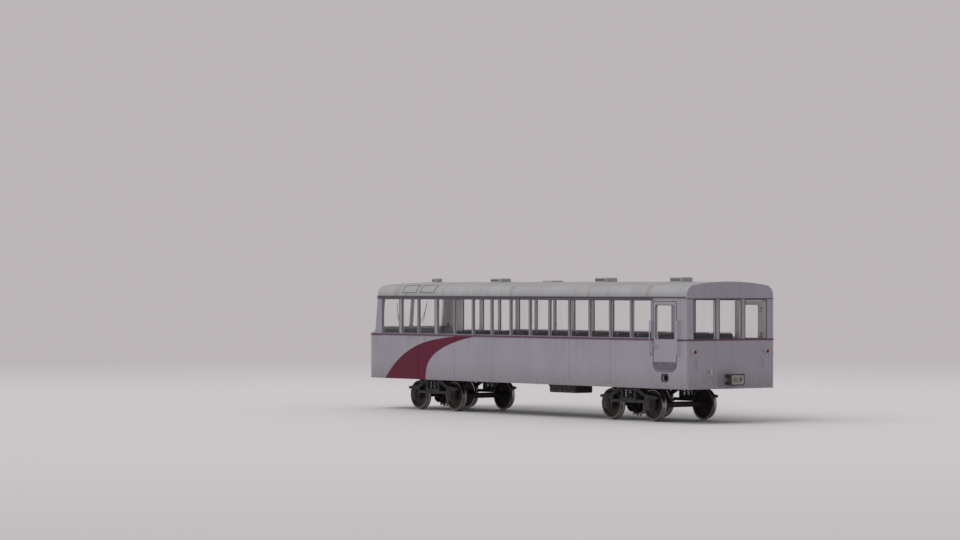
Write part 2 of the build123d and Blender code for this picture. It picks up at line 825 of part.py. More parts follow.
# Headlamp let into the dash, and two tail lamps
with BuildPart() as headlamp:
    with BuildSketch(Plane.XZ):
        with BuildLine():
            Polyline(
                (front_x + lamp_depth, lamp_z),
                (front_x + lamp_depth, lamp_z + 70),
                (front_x + wall / 2, lamp_z + lamp_diameter / 2 - press_gap),
                (front_x, lamp_z + lamp_diameter / 2 - press_gap),
                (front_x, lamp_z + lamp_diameter / 2 + lamp_rim),
                (front_x - lamp_proud, lamp_z + lamp_diameter / 2),
                (front_x - lamp_proud, lamp_z + lamp_diameter / 2 - lamp_rim),
                (front_x, lamp_z + lamp_diameter / 2 - 2 * lamp_rim),
                (front_x + lamp_depth - 12, lamp_z + 55),
                (front_x + lamp_depth - 12, lamp_z),
                close=True,
            )
        make_face()
    revolve(axis=Axis((front_x, 0, lamp_z), (1, 0, 0)))
save(headlamp, "headlamp")

tail_lamp_y = half_width - 200
tail_lamp_z = belt_z - 250
with BuildPart() as tail_lamps:
    for sign in sides.values():
        with Locations(Location((rear_x, sign * tail_lamp_y, tail_lamp_z), (0, 90, 0))):
            Cylinder(70, 50, align=standing)
    fillet(tail_lamps.edges().group_by(Axis.X)[-1], 14)
save(tail_lamps, "tail_lamps")

# Air tank and battery box hung under the floor between the bogies
tank_diameter = 300
tank_length = 1100
tank_strap = 40
tank_x = (bearer_x[1][2] + bearer_x[1][3]) / 2
tank_y = 650
tank_z = frame_low_z - tank_diameter / 2 - 20
with BuildPart() as air_tank:
    with Locations(Location((tank_x, tank_y, tank_z), (0, 90, 0))):
        Cylinder(tank_diameter / 2, tank_length)
    fillet(air_tank.edges(), tank_diameter / 5)
    with Locations((tank_x - tank_length / 4, tank_y, tank_z), (tank_x + tank_length / 4, tank_y, tank_z)):
        Box(tank_strap, tank_diameter + 24, frame_top_z - tank_z, align=standing)
save(air_tank, "air_tank")

box_length = 1000
box_width = 480
box_height = 320
box_x = (bearer_x[1][4] + bearer_x[1][5]) / 2
with BuildPart() as battery_box:
    with Locations((box_x, -tank_y, frame_low_z)):
        Box(box_length, box_width, box_height, align=hung)
    fillet(battery_box.edges().group_by(Axis.Z)[0], 25)
    with Locations([(box_x + way * box_length / 4, -tank_y, frame_low_z) for way in (-1, 1)]):
        Box(tank_strap, box_width, frame_depth, align=standing)
save(battery_box, "battery_box")

# Running gear places shared by the bogies and the wheelsets
flange_face_y = gauge / 2 - flange_play
wheel_back_y = flange_face_y - flange_width
wheel_face_y = wheel_back_y + wheel_width
wheel_mid_y = wheel_back_y + wheel_width / 2
axle_radius = axle_diameter / 2
journal_start_y = side_frame_inner - journal_shoulder
journal_end_y = journal_start_y + journal_length
box_inner_y = side_frame_inner - journal_shoulder / 2
bowl_top_z = frame_low_z - plate_drop - fit_gap
bolster_top_z = bowl_top_z - bowl_height
bolster_low_z = bolster_top_z - bolster_height
spring_top_z = bolster_top_z - bolster_end_height
spring_seat_z = spring_top_z - spring_height
side_frame_y = side_frame_inner + side_frame_width / 2
pitch_radius = cog_teeth * cog_pitch / (2 * pi)
tip_radius = pitch_radius + cog_addendum
root_radius = pitch_radius - cog_dedendum
drum_radius = drum_diameter / 2
band_radius = drum_radius + band_gap


def axle_plane(x, y):
    """Upright plane square to an axle, centred on it, facing -Y."""
    return Plane(origin=(x, y, wheel_z), x_dir=(1, 0, 0), z_dir=(0, -1, 0))


# Double cog of two staggered discs, with a brake drum each side, on one hub
with BuildSketch() as tooth:
    with BuildLine():
        Polyline(
            (-tooth_tip_width / 2, tip_radius),
            (tooth_tip_width / 2, tip_radius),
        )
        ThreePointArc(
            (tooth_tip_width / 2, tip_radius),
            (tooth_mid_width / 2, pitch_radius),
            (tooth_root_width / 2, root_radius),
        )
        Polyline(
            (tooth_root_width / 2, root_radius),
            (tooth_root_width / 2, root_radius - 20),
            (-tooth_root_width / 2, root_radius - 20),
            (-tooth_root_width / 2, root_radius),
        )
        ThreePointArc(
            (-tooth_root_width / 2, root_radius),
            (-tooth_mid_width / 2, pitch_radius),
            (-tooth_tip_width / 2, tip_radius),
        )
    make_face()
hub_half = drum_place + drum_width / 2 + 10
disc_y = (cog_disc_gap + cog_disc_width) / 2
with BuildPart() as cog_master:
    for stagger, y in ((0, disc_y), (0.5, -disc_y)):
        with BuildSketch(axle_plane(0, y + cog_disc_width / 2)):
            Circle(root_radius)
            with PolarLocations(0, cog_teeth, start_angle=stagger * 360 / cog_teeth):
                add(tooth.sketch)
            with PolarLocations(cog_hole_circle / 2, cog_holes):
                Circle(cog_hole_diameter / 2, mode=Mode.SUBTRACT)
        extrude(amount=cog_disc_width)
    with Locations(Location((0, 0, wheel_z), (90, 0, 0))):
        Cylinder(cog_hub_diameter / 2, 2 * hub_half)
    for sign in sides.values():
        with Locations(Location((0, sign * drum_place, wheel_z), (90, 0, 0))):
            Cylinder(drum_radius, drum_width)
        with Locations(Location((0, sign * (drum_place + 16), wheel_z), (90, 0, 0))):
            Cylinder(drum_radius - 16, drum_width, mode=Mode.SUBTRACT)
            Cylinder(cog_hub_diameter / 2, drum_width)
    with Locations(Location((0, 0, wheel_z), (90, 0, 0))):
        Cylinder(axle_radius + press_gap, 3 * hub_half, mode=Mode.SUBTRACT)

for place, bogie_x in bogie_places.items():
    slot_top = wheel_z + axle_box_height / 2
    slot_low = wheel_z - axle_box_height / 2
    slot_in = (wheelbase - axle_box_width) / 2
    slot_out = (wheelbase + axle_box_width) / 2
    jaw = bolster_length / 2 + 40
    jaw_out = jaw + 110
    jaw_top = bolster_top_z - 40
    chord_low = spring_seat_z - 110
    end_low = slot_top + 25
    end_top = end_low + 60
    with BuildPart() as side_frames:
        for sign in sides.values():
            with BuildSketch(Plane.XZ.offset(-sign * side_frame_y - side_frame_width / 2)) as frame_profile:
                with BuildLine():
                    Polyline(
                        (bogie_x, chord_low),
                        (bogie_x + slot_in - pedestal_leg, chord_low),
                        (bogie_x + slot_in - pedestal_leg, slot_low),
                        (bogie_x + slot_in, slot_low),
                        (bogie_x + slot_in, slot_top),
                        (bogie_x + slot_out, slot_top),
                        (bogie_x + slot_out, slot_low),
                        (bogie_x + slot_out + pedestal_leg, slot_low),
                        (bogie_x + slot_out + pedestal_leg, end_low),
                        (bogie_x + side_frame_half_length, end_low),
                        (bogie_x + side_frame_half_length, end_top),
                        (bogie_x + slot_in - pedestal_leg, end_top + 50),
                        (bogie_x + jaw_out, jaw_top),
                        (bogie_x + jaw, jaw_top),
                        (bogie_x + jaw, spring_seat_z),
                        (bogie_x, spring_seat_z),
                        close=True,
                    )
                make_face()
                with BuildLine():
                    Polyline(
                        (bogie_x + jaw_out - 25, chord_low + 70),
                        (bogie_x + jaw_out - 25, jaw_top - 110),
                        (bogie_x + slot_in - pedestal_leg - 30, end_top - 20),
                        (bogie_x + slot_in - pedestal_leg - 30, chord_low + 70),
                        close=True,
                    )
                make_face(mode=Mode.SUBTRACT)
                mirror(about=Plane.YZ.offset(bogie_x))
            extrude(amount=side_frame_width)
    save(side_frames, f"side_frames_{place}")

    with BuildPart() as axle_boxes:
        for way in (1, -1):
            x = bogie_x + way * wheelbase / 2
            for sign in sides.values():
                with Locations((x, sign * (box_inner_y + axle_box_depth / 2), wheel_z)):
                    Box(axle_box_width, axle_box_depth, axle_box_height)
                cap_y = sign * (box_inner_y + axle_box_depth + 12)
                with Locations(Location((x, cap_y, wheel_z), (90, 0, 0))):
                    Cylinder(axle_cap_diameter / 2, 24)
                bore_y = sign * (box_inner_y + axle_box_depth / 2 - 6)
                with Locations(Location((x, bore_y, wheel_z), (90, 0, 0))):
                    Cylinder(journal_diameter / 2 + fit_gap, axle_box_depth - 12, mode=Mode.SUBTRACT)
    save(axle_boxes, f"axle_boxes_{place}")

    with BuildPart() as bolster:
        with BuildSketch(Plane.YZ.offset(bogie_x - bolster_length / 2)):
            end_y = side_frame_inner + side_frame_width + 20
            with BuildLine():
                Polyline(
                    (end_y, bolster_top_z),
                    (end_y, spring_top_z),
                    (side_frame_inner - 60, spring_top_z),
                    (side_frame_inner - 300, bolster_low_z),
                    (300 - side_frame_inner, bolster_low_z),
                    (60 - side_frame_inner, spring_top_z),
                    (-end_y, spring_top_z),
                    (-end_y, bolster_top_z),
                    close=True,
                )
            make_face()
        extrude(amount=bolster_length)
        with Locations((bogie_x, 0, bolster_top_z)):
            Cylinder(bowl_diameter / 2, bowl_height, align=standing)
        with Locations((bogie_x, 0, bowl_top_z)):
            Cylinder(
                pivot_diameter / 2 + fit_gap,
                bowl_height + bolster_height,
                align=hung,
                mode=Mode.SUBTRACT,
            )
    save(bolster, f"bolster_{place}")

    with BuildPart() as springs:
        for sign in sides.values():
            for way in (1, -1):
                x = bogie_x + way * spring_spacing / 2
                rib = spring_height / spring_ribs
                crest = spring_diameter / 2
                foot = (x, sign * side_frame_y, spring_seat_z)
                with BuildSketch(Plane(origin=foot, x_dir=(1, 0, 0), z_dir=(0, -1, 0))):
                    with BuildLine():
                        points = [(0, 0), (crest - 14, 0)]
                        for n in range(spring_ribs):
                            points.append((crest, rib * (n + 0.5)))
                            points.append((crest - 14, rib * (n + 1)))
                        Polyline(*points, (0, spring_height), close=True)
                    make_face()
                revolve(axis=Axis(foot, (0, 0, 1)))
    save(springs, f"springs_{place}")

    cog_x = bogie_x - wheelbase / 2
    with BuildPart() as brake_bands:
        for sign in sides.values():
            middle_y = sign * drum_place
            for width, is_band in ((drum_width, True), (hanger_thickness, False)):
                with BuildSketch(axle_plane(cog_x, middle_y + width / 2)):
                    if is_band:
                        Circle(band_radius + band_thickness)
                    else:
                        with BuildLine():
                            Polyline(
                                (60, 200),
                                (wheelbase / 2 - bolster_length / 2, bolster_top_z - wheel_z - 20),
                                (wheelbase / 2 - bolster_length / 2, bolster_low_z - wheel_z + 20),
                                (band_radius + band_thickness, 40),
                                (band_radius, 0),
                                close=True,
                            )
                        make_face()
                    Circle(band_radius, mode=Mode.SUBTRACT)
                    with Locations((-band_radius, -band_radius / 3)):
                        Rectangle(band_radius, 60, mode=Mode.SUBTRACT)
                extrude(amount=width)
    save(brake_bands, f"brake_bands_{place}")

    for number, way in ((1, -1), (2, 1)):
        x = bogie_x + way * wheelbase / 2
        with BuildPart() as axle:
            with Locations(Location((x, 0, wheel_z), (90, 0, 0))):
                Cylinder(axle_radius, 2 * journal_start_y)
                Cylinder(journal_diameter / 2, 2 * journal_end_y)
        save(axle, f"axle_{place}_{number}")

        with BuildPart() as wheels:
            with BuildSketch(Plane(origin=(x, 0, wheel_z), x_dir=(0, 1, 0), z_dir=(1, 0, 0))):
                with BuildLine():
                    Polyline(
                        (wheel_back_y + flange_width, wheel_radius + flange_root),
                        (wheel_back_y + flange_width + flange_root, wheel_radius),
                        (wheel_face_y, wheel_radius - tread_taper),
                        (wheel_face_y, wheel_radius - rim_thickness),
                        (wheel_mid_y + web_thickness / 2, wheel_radius - rim_thickness - 12),
                        (wheel_mid_y + web_thickness / 2, hub_diameter / 2 + 12),
                        (wheel_mid_y + hub_length / 2, hub_diameter / 2),
                        (wheel_mid_y + hub_length / 2, axle_radius + press_gap),
                        (wheel_mid_y - hub_length / 2, axle_radius + press_gap),
                        (wheel_mid_y - hub_length / 2, hub_diameter / 2),
                        (wheel_mid_y - web_thickness / 2, hub_diameter / 2 + 12),
                        (wheel_mid_y - web_thickness / 2, wheel_radius - rim_thickness - 12),
                        (wheel_back_y, wheel_radius - rim_thickness),
                        (wheel_back_y, wheel_radius + flange_root),
                    )
                    ThreePointArc(
                        (wheel_back_y, wheel_radius + flange_root),
                        (wheel_back_y + flange_width / 2, wheel_radius + flange_depth),
                        (wheel_back_y + flange_width, wheel_radius + flange_root),
                    )
                make_face()
            revolve(axis=Axis((x, 0, wheel_z), (0, 1, 0)))
            mirror(about=Plane.XZ)
        save(wheels, f"wheels_{place}_{number}")

    with BuildPart() as cog:
        add(cog_master.part.moved(Location((cog_x, 0, 0))))
    save(cog, f"cog_{place}")
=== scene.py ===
"""Looks for the cog railway coach: paint, glass, trim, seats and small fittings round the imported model.

Metres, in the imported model's own frame: X runs towards the rear, Y across and Z up from the lowest
points of the wheel flanges.
"""
from math import atan2, ceil, cos, pi, radians, sin, sqrt, tan

import bmesh
import bpy
from mathutils import Matrix, Vector
from mathutils.bvhtree import BVHTree


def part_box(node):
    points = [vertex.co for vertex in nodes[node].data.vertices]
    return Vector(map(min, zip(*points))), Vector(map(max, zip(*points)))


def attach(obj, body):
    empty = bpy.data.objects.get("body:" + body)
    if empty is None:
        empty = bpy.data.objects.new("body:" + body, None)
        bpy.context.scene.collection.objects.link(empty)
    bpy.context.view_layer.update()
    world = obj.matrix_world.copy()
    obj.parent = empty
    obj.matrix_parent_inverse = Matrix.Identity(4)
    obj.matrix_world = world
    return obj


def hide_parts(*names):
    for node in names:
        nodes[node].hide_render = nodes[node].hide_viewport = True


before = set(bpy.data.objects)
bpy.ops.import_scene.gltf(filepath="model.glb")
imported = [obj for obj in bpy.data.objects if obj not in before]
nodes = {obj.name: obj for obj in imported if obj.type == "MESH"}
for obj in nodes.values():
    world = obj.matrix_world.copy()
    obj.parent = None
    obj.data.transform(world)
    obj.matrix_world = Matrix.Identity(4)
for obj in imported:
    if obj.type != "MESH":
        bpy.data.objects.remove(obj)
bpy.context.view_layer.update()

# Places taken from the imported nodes
front_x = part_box("front_dash")[0].x
split_x, _, skirt_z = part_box("side_panel_right")[0]
end_wall_x, half_width, belt_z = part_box("side_panel_left")[1]
rear_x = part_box("rear_wall")[1].x
cowl_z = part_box("windscreen_frame")[0].z
header_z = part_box("window_band_right")[1].z
crown_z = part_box("roof")[1].z
floor_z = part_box("floor")[1].z
frame_low_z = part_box("frame_sills")[0].z
door_low_z, door_high_z = (corner.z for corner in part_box("door_right"))
bogie_x = {name: sum(p.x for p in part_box(f"bolster_{name}")) / 2 for name in ("front", "rear")}
sides = {"left": 1, "right": -1}

# Sizes that the part's source gives the body
wall = 0.06
front_bow = 0.08
dash_radius = 0.45
screen_radius = 0.35
screen_setback = 0.25
screen_rake = 0.095
crown_rise = 0.11
roof_radius = 0.23
first_post = 1.62
post_pitch = 0.75
window_count = 13
post_width = 0.06
wide_post_width = 0.12
wide_posts = (0, 2)
window_sill = 0.045
window_head = 0.038
window_radius = 0.035
door_width = 0.83
door_rear_margin = 0.35
door_bottom_radius = 0.2
moulding_height = 0.042
moulding_depth = 0.012
wheelbase = 1.5
wheel_z = 0.378
# Each ventilator's place behind the dash, length, width and height over the crown
ventilators = (
    (1.41, 0.22, 0.22, 0.095),
    (4.064, 0.43, 0.36, 0.09),
    (6.135, 0.43, 0.36, 0.035),
    (8.16, 0.47, 0.36, 0.1),
    (10.88, 0.45, 0.36, 0.105),
)

# Places that follow from these
post_x = [front_x + first_post + post_pitch * n for n in range(window_count + 1)]
door_rear_x = rear_x - door_rear_margin
door_front_x = door_rear_x - door_width
window_low_z = belt_z + window_sill
window_high_z = header_z - window_head
inner_half = half_width - wall
shoulder_z = crown_z - crown_rise
head_setback = screen_setback + screen_rake
bow_radius = (half_width**2 + front_bow**2) / (2 * front_bow)

# Small fittings: how deep they sink into what carries them, rivets, bolts and bent grips
sunk = 0.001
rivet = 0.0055
rivet_pitch = 0.075
rivet_inset = 0.035
bolt = 0.012
grip_radius = 0.0105

X = Vector((1, 0, 0))
Y = Vector((0, 1, 0))
Z = Vector((0, 0, 1))


# Camera, light and floor

SKY = (0.50, 0.465, 0.48)


def new_object(name, data):
    """New object in the scene."""
    made = bpy.data.objects.new(name, data)
    bpy.context.scene.collection.objects.link(made)
    return made


def set_camera():
    """Camera at the photograph's viewing angle: a long lens about 75 m away, 3 m above the rail."""
    data = bpy.data.cameras.new("camera")
    data.sensor_width = 36
    data.lens = 119.9
    data.clip_end = 500
    camera = new_object("camera", data)
    camera.location = (60.18, -47.50, 3.058)
    aim = Vector((-0.8001, 0.5998, tan(radians(0.305))))
    camera.rotation_euler = aim.to_track_quat("-Z", "Y").to_euler()
    bpy.context.scene.camera = camera


def set_light():
    """Even pale sky, with one broad soft lamp from above and behind the camera's left."""
    bpy.context.scene.view_settings.view_transform = "Standard"
    world = bpy.data.worlds.new("sky")
    bpy.context.scene.world = world
    world.use_nodes = True
    sky = Nodes(world.node_tree)
    sky.tree.nodes.clear()
    lit = sky.node("Background", {"Color": (0.97, 0.98, 1.0), "Strength": 0.72})
    seen = sky.node("Background", {"Color": SKY})
    rays = sky.node("LightPath").outputs
    straight = sky.math("MAXIMUM", rays["Is Camera Ray"], rays["Is Transmission Ray"])
    shown = sky.math("MAXIMUM", straight, rays["Is Glossy Ray"])
    mix = sky.node("MixShader", {0: shown, 1: lit.outputs[0], 2: seen.outputs[0]})
    sky.node("OutputWorld", {"Surface": mix.outputs[0]})

    sun = bpy.data.lights.new("soft_key", "SUN")
    sun.energy = 1.5
    sun.angle = radians(50)
    falling = Vector((0.1, 0.62, -0.78))
    new_object("soft_key", sun).rotation_euler = falling.to_track_quat("-Z", "Y").to_euler()


def set_floor():
    """Pale floor that fades into the sky's colour far away."""
    reach = 220.0
    near, far = 12.0, 60.0
    corners = [(-reach, -reach, 0), (reach, -reach, 0), (reach, reach, 0), (-reach, reach, 0)]
    data = bpy.data.meshes.new("floor_plane")
    data.from_pydata(corners, [], [(0, 1, 2, 3)])
    look = Look("studio_floor", (0.56, 0.535, 0.545), 0.8)
    sky = look.node("Emission", {"Color": SKY})
    away = look.node("VectorMath", {0: look.place}, operation="LENGTH").outputs["Value"]
    fading = look.ramp(away, near, far)
    mix = look.node("MixShader", {0: fading, 1: look.shader.outputs[0], 2: sky.outputs[0]})
    look.feed(look.tree.nodes["Material Output"].inputs["Surface"], mix.outputs[0])
    data.materials.append(look.material)
    new_object("floor_plane", data)


# Materials


class Nodes:
    """Short ways to build a node tree."""

    def __init__(self, tree):
        self.tree = tree

    def feed(self, socket, value):
        """Link a socket, or set it to a number or colour."""
        if isinstance(value, bpy.types.NodeSocket):
            self.tree.links.new(value, socket)
        elif hasattr(value, "__len__") and socket.type == "RGBA":
            socket.default_value = (*value, 1)
        else:
            socket.default_value = value

    def node(self, kind, inputs=None, **settings):
        """New node, its inputs fed by name or number."""
        node = self.tree.nodes.new("ShaderNode" + kind)
        for name, value in settings.items():
            setattr(node, name, value)
        for key, value in (inputs or {}).items():
            self.feed(node.inputs[key], value)
        return node

    def math(self, operation, a, b=0.0):
        return self.node("Math", {0: a, 1: b}, operation=operation).outputs[0]


class Look(Nodes):
    """A material with patterns in the object's own coordinates."""

    def __init__(self, name, colour, roughness, metallic=0.0, coat=0.0):
        self.material = bpy.data.materials.new(name)
        self.material.use_nodes = True
        super().__init__(self.material.node_tree)
        self.shader = self.tree.nodes["Principled BSDF"]
        self.set("Base Color", colour)
        self.set("Roughness", roughness)
        self.set("Metallic", metallic)
        self.set("Coat Weight", coat)
        self.place = self.node("TexCoord").outputs["Object"]
        self.x, self.y, self.z = self.axes(self.place)

    def set(self, name, value):
        """Feed an input of the shader."""
        self.feed(self.shader.inputs[name], value)

    def axes(self, vector):
        return self.node("SeparateXYZ", {0: vector}).outputs

    def facing(self):
        """Sockets of the surface's outward direction, by axis."""
        return self.axes(self.node("NewGeometry").outputs["Normal"])

    def minus(self, a, b):
        return self.math("SUBTRACT", a, b)

    def times(self, product, *factors):
        for factor in factors:
            product = self.math("MULTIPLY", product, factor)
        return product

    def noise(self, scale, detail=3.0, stretch=(1, 1, 1)):
        """Noise from 0 to 1 at so many lumps a metre, with the axes stretched apart."""
        mapping = self.node("Mapping", {"Vector": self.place, "Scale": stretch})
        inputs = {"Vector": mapping.outputs[0], "Scale": scale, "Detail": detail}
        return self.node("TexNoise", inputs).outputs["Fac"]

    def ramp(self, value, low, high, to_low=0.0, to_high=1.0):
        """Smooth step from low to high."""
        inputs = {"Value": value, "From Min": low, "From Max": high, "To Min": to_low, "To Max": to_high}
        return self.node("MapRange", inputs, interpolation_type="SMOOTHSTEP").outputs[0]

    def patches(self, scale, detail, low, high, most=1.0, least=0.0, stretch=(1, 1, 1)):
        """Noise sharpened to patches between two of its levels."""
        return self.ramp(self.noise(scale, detail, stretch), low, high, least, most)

    def mix(self, factor, a, b):
        return self.node("Mix", {"Factor": factor, 6: a, 7: b}, data_type="RGBA").outputs[2]

    def band(self, value, low, high, soft):
        """1 between low and high, 0 outside."""
        inside = self.ramp(value, low - soft, low + soft)
        return self.times(inside, self.ramp(value, high - soft, high + soft, 1.0, 0.0))

    def paint(self, colour):
        self.set("Base Color", colour)

    def rough(self, value, low, high):
        """Roughness that follows a pattern."""
        self.set("Roughness", self.ramp(value, 0.0, 1.0, low, high))

    def bump(self, height, distance, strength):
        inputs = {"Height": height, "Distance": distance, "Strength": strength}
        self.set("Normal", self.node("Bump", inputs).outputs[0])


SILVER = (0.315, 0.295, 0.335)
SILVER_DULL = (0.25, 0.235, 0.27)
ROOF_GREY = (0.335, 0.33, 0.335)
ROOF_CHALK = (0.27, 0.26, 0.27)
LINING = (0.84, 0.82, 0.8)
CRIMSON = (0.1, 0.006, 0.026)
CRIMSON_FADED = (0.125, 0.02, 0.042)
MAROON = (0.075, 0.024, 0.05)
HEADER_BROWN = (0.062, 0.042, 0.06)
DUST = (0.19, 0.165, 0.165)
PANE = (0.85, 0.86, 0.88)
SEAT_NAVY = (0.032, 0.02, 0.062)
IRON = (0.028, 0.026, 0.028)
RUST = (0.085, 0.042, 0.026)


def body_paint():
    """Satin silver paint with the crescent of crimson that sweeps up from behind the front corner."""
    look = Look("silver_paint", SILVER, 0.4, 0.35)
    look.set("Specular IOR Level", 0.3)
    colour = look.mix(look.patches(1.3, 4.0, 0.35, 0.75, 0.35), SILVER, SILVER_DULL)

    # Rain streaks under the belt and dust towards the skirt
    falling = look.ramp(look.z, belt_z, belt_z - 0.5, 0.3, 0.05)
    streaks = look.patches(9.0, 3.0, 0.52, 0.72, stretch=(1.0, 1.0, 0.07))
    colour = look.mix(look.times(streaks, falling), colour, DUST)
    low = look.ramp(look.z, skirt_z, skirt_z + 0.5, 0.62, 0.0)
    colour = look.mix(look.times(low, look.patches(14.0, 5.0, 0.3, 0.7, 1.0, 0.4)), colour, DUST)

    # Pale lining within the walls, and round the nose on what faces the car's middle
    across = look.math("ABSOLUTE", look.y)
    behind_nose = look.ramp(look.x, front_x + 0.5, front_x + 0.6)
    ahead_of_end = look.ramp(look.x, end_wall_x + 0.02, rear_x - 0.02, 1.0, 0.0)
    within = look.ramp(across, inner_half + 0.03, inner_half + 0.02)
    inside = look.times(within, look.times(behind_nose, ahead_of_end))
    facing_x, facing_y, _ = look.facing()
    inwards = look.times(facing_y, look.math("SIGN", look.y))
    nose_inside = look.ramp(look.minus(facing_x, inwards), 0.15, 0.35)
    above_floor = look.ramp(look.z, floor_z, floor_z + 0.02)
    nose_inside = look.times(nose_inside, look.minus(1.0, behind_nose), above_floor)
    colour = look.mix(look.math("MAXIMUM", inside, nose_inside), colour, LINING)

    # Each edge of the crescent is a start behind the dash, then factors of the height to a power
    front_edge = (0.945, ((1.076, 1), (1.131, 3), (0.994, 12)))
    rear_edge = (2.688, ((1.828, 3), (0.275, 10)))
    soft = 0.006
    height = look.math("DIVIDE", look.minus(look.z, skirt_z - 0.018), belt_z - skirt_z + 0.033)
    station = look.minus(look.x, front_x)
    edges = []
    for edge, terms in (front_edge, rear_edge):
        for factor, power in terms:
            edge = look.math("ADD", edge, look.times(factor, look.math("POWER", height, power)))
        edges.append(edge)
    behind_first = look.ramp(look.minus(station, edges[0]), -soft, soft)
    ahead_of_second = look.ramp(look.minus(edges[1], station), -soft, soft)
    below_belt = look.ramp(look.z, belt_z + 0.002, belt_z - 0.002)
    outer_skin = look.ramp(across, inner_half + 0.02, inner_half + 0.03)
    crescent = look.times(behind_first, ahead_of_second, below_belt, outer_skin)
    faded = look.mix(look.patches(6.0, 4.0, 0.3, 0.8, 0.3), CRIMSON, CRIMSON_FADED)
    look.paint(look.mix(crescent, colour, faded))
    look.rough(look.noise(20.0, 4.0), 0.34, 0.52)
    look.bump(look.noise(2.2, 2.0), 0.006, 0.25)
    return look.material


def roof_paint():
    """Chalky roof paint, streaked down the shoulders, with a pale lining on its inside."""
    look = Look("roof_paint", ROOF_GREY, 0.55, 0.2)
    colour = look.mix(look.patches(1.1, 5.0, 0.35, 0.7, 0.5), ROOF_GREY, ROOF_CHALK)
    streaks = look.patches(7.0, 3.0, 0.5, 0.75, 0.45, stretch=(1.0, 0.12, 0.12))
    colour = look.mix(streaks, colour, DUST)
    _, _, facing_z = look.facing()
    look.paint(look.mix(look.ramp(facing_z, -0.02, -0.3), colour, LINING))
    look.rough(look.noise(25.0, 4.0), 0.45, 0.7)
    look.bump(look.noise(3.0, 3.0), 0.008, 0.3)
    return look.material


def trim_paint():
    """Maroon belt line and browner header line, both chipped and dusty."""
    look = Look("trim_paint", MAROON, 0.42, 0.0, 0.1)
    colour = look.mix(look.ramp(look.z, header_z - 0.3, header_z - 0.2), MAROON, HEADER_BROWN)
    look.paint(look.mix(look.patches(30.0, 5.0, 0.55, 0.75, 0.5), colour, DUST))
    look.bump(look.noise(90.0, 2.0), 0.0006, 0.3)
    return look.material


def flat_paint(name, colour, worn, roughness, metallic, lumps, grain=0.0008):
    """Paint or bare metal with worn patches of a second colour and a fine grain."""
    look = Look(name, colour, roughness, metallic)
    look.paint(look.mix(look.patches(lumps, 5.0, 0.48, 0.72, 0.75), colour, worn))
    look.rough(look.noise(lumps * 2.5, 4.0), max(roughness - 0.1, 0.05), min(roughness + 0.12, 1.0))
    look.bump(look.noise(lumps * 8, 3.0), grain, 0.4)
    return look.material


def window_pane():
    """Thin clear pane: a mirror as faint as glass is at each slant, so that daylight falls through."""
    look = Look("window_glass", PANE, 0.03, 1.0)
    slant = look.node("LayerWeight").outputs["Facing"]
    mirrored = look.math("ADD", look.math("POWER", slant, 5.0), 0.018)
    dusty = look.patches(3.0, 5.0, 0.35, 0.8, stretch=(1.0, 1.0, 0.3))
    look.set("Alpha", look.math("ADD", mirrored, look.times(dusty, 0.02)))
    look.paint(look.mix(dusty, PANE, (0.6, 0.58, 0.56)))
    look.rough(dusty, 0.02, 0.14)
    return look.material


def glass(name, tint, roughness):
    """Transmitting glass of a lamp, dulled in patches."""
    look = Look(name, tint, roughness)
    look.set("Transmission Weight", 1.0)
    look.set("IOR", 1.45)
    dusty = look.patches(3.0, 5.0, 0.35, 0.8, 0.25, stretch=(1.0, 1.0, 0.3))
    look.paint(look.mix(dusty, tint, tuple(0.8 * part for part in tint)))
    return look.material


def milky_panel():
    """Translucent skylight sheet."""
    look = Look("skylight_sheet", (0.44, 0.435, 0.44), 0.35)
    look.set("Transmission Weight", 0.35)
    patches = look.patches(8.0, 4.0, 0.3, 0.8, 0.4)
    look.paint(look.mix(patches, (0.46, 0.455, 0.46), (0.33, 0.32, 0.33)))
    look.bump(look.noise(40.0, 2.0), 0.001, 0.3)
    return look.material


def vinyl():
    """Dark navy coated seat fabric with a fine leather grain and rubbed crowns."""
    look = Look("seat_vinyl", SEAT_NAVY, 0.5)
    grain = look.node("TexVoronoi", {"Vector": look.place, "Scale": 420.0})
    look.paint(look.mix(look.patches(5.0, 4.0, 0.45, 0.75, 0.6), SEAT_NAVY, (0.06, 0.042, 0.1)))
    look.rough(look.noise(40.0, 3.0), 0.38, 0.6)
    look.bump(grain.outputs["Distance"], 0.0008, 0.5)
    return look.material


def wheel_metal(name, centre_x, bright_from, bright_to, dark=IRON):
    """Rusty iron that is polished between two radii from the axle at centre_x."""
    look = Look(name, dark, 0.5, 0.6)
    along = look.minus(look.x, centre_x)
    up = look.minus(look.z, wheel_z)
    radius = look.math("SQRT", look.math("ADD", look.times(along, along), look.times(up, up)))
    rusty = look.mix(look.patches(22.0, 5.0, 0.4, 0.7, 0.8), dark, RUST)
    polished = look.band(radius, bright_from, bright_to, 0.004)
    scratched = look.times(polished, look.patches(60.0, 4.0, 0.2, 0.6, 1.0, 0.65))
    look.paint(look.mix(scratched, rusty, (0.36, 0.35, 0.34)))
    look.rough(polished, 0.68, 0.28)
    look.set("Metallic", look.ramp(polished, 0.0, 1.0, 0.3, 1.0))
    look.bump(look.noise(120.0, 3.0), 0.001, 0.4)
    return look.material


def floor_rubber():
    """Ribbed rubber floor, dusty down the gangway."""
    gangway_half = 0.24
    rib_pitch = 0.02
    look = Look("floor_rubber", (0.05, 0.048, 0.05), 0.7)
    walked = look.band(look.y, -gangway_half, gangway_half, 0.08)
    dusty = look.times(look.patches(6.0, 5.0, 0.35, 0.7), look.ramp(walked, 0.0, 1.0, 0.3, 0.8))
    look.paint(look.mix(dusty, (0.045, 0.043, 0.046), (0.13, 0.12, 0.115)))
    look.bump(look.math("SINE", look.times(look.y, 2 * pi / rib_pitch)), 0.002, 0.6)
    return look.material


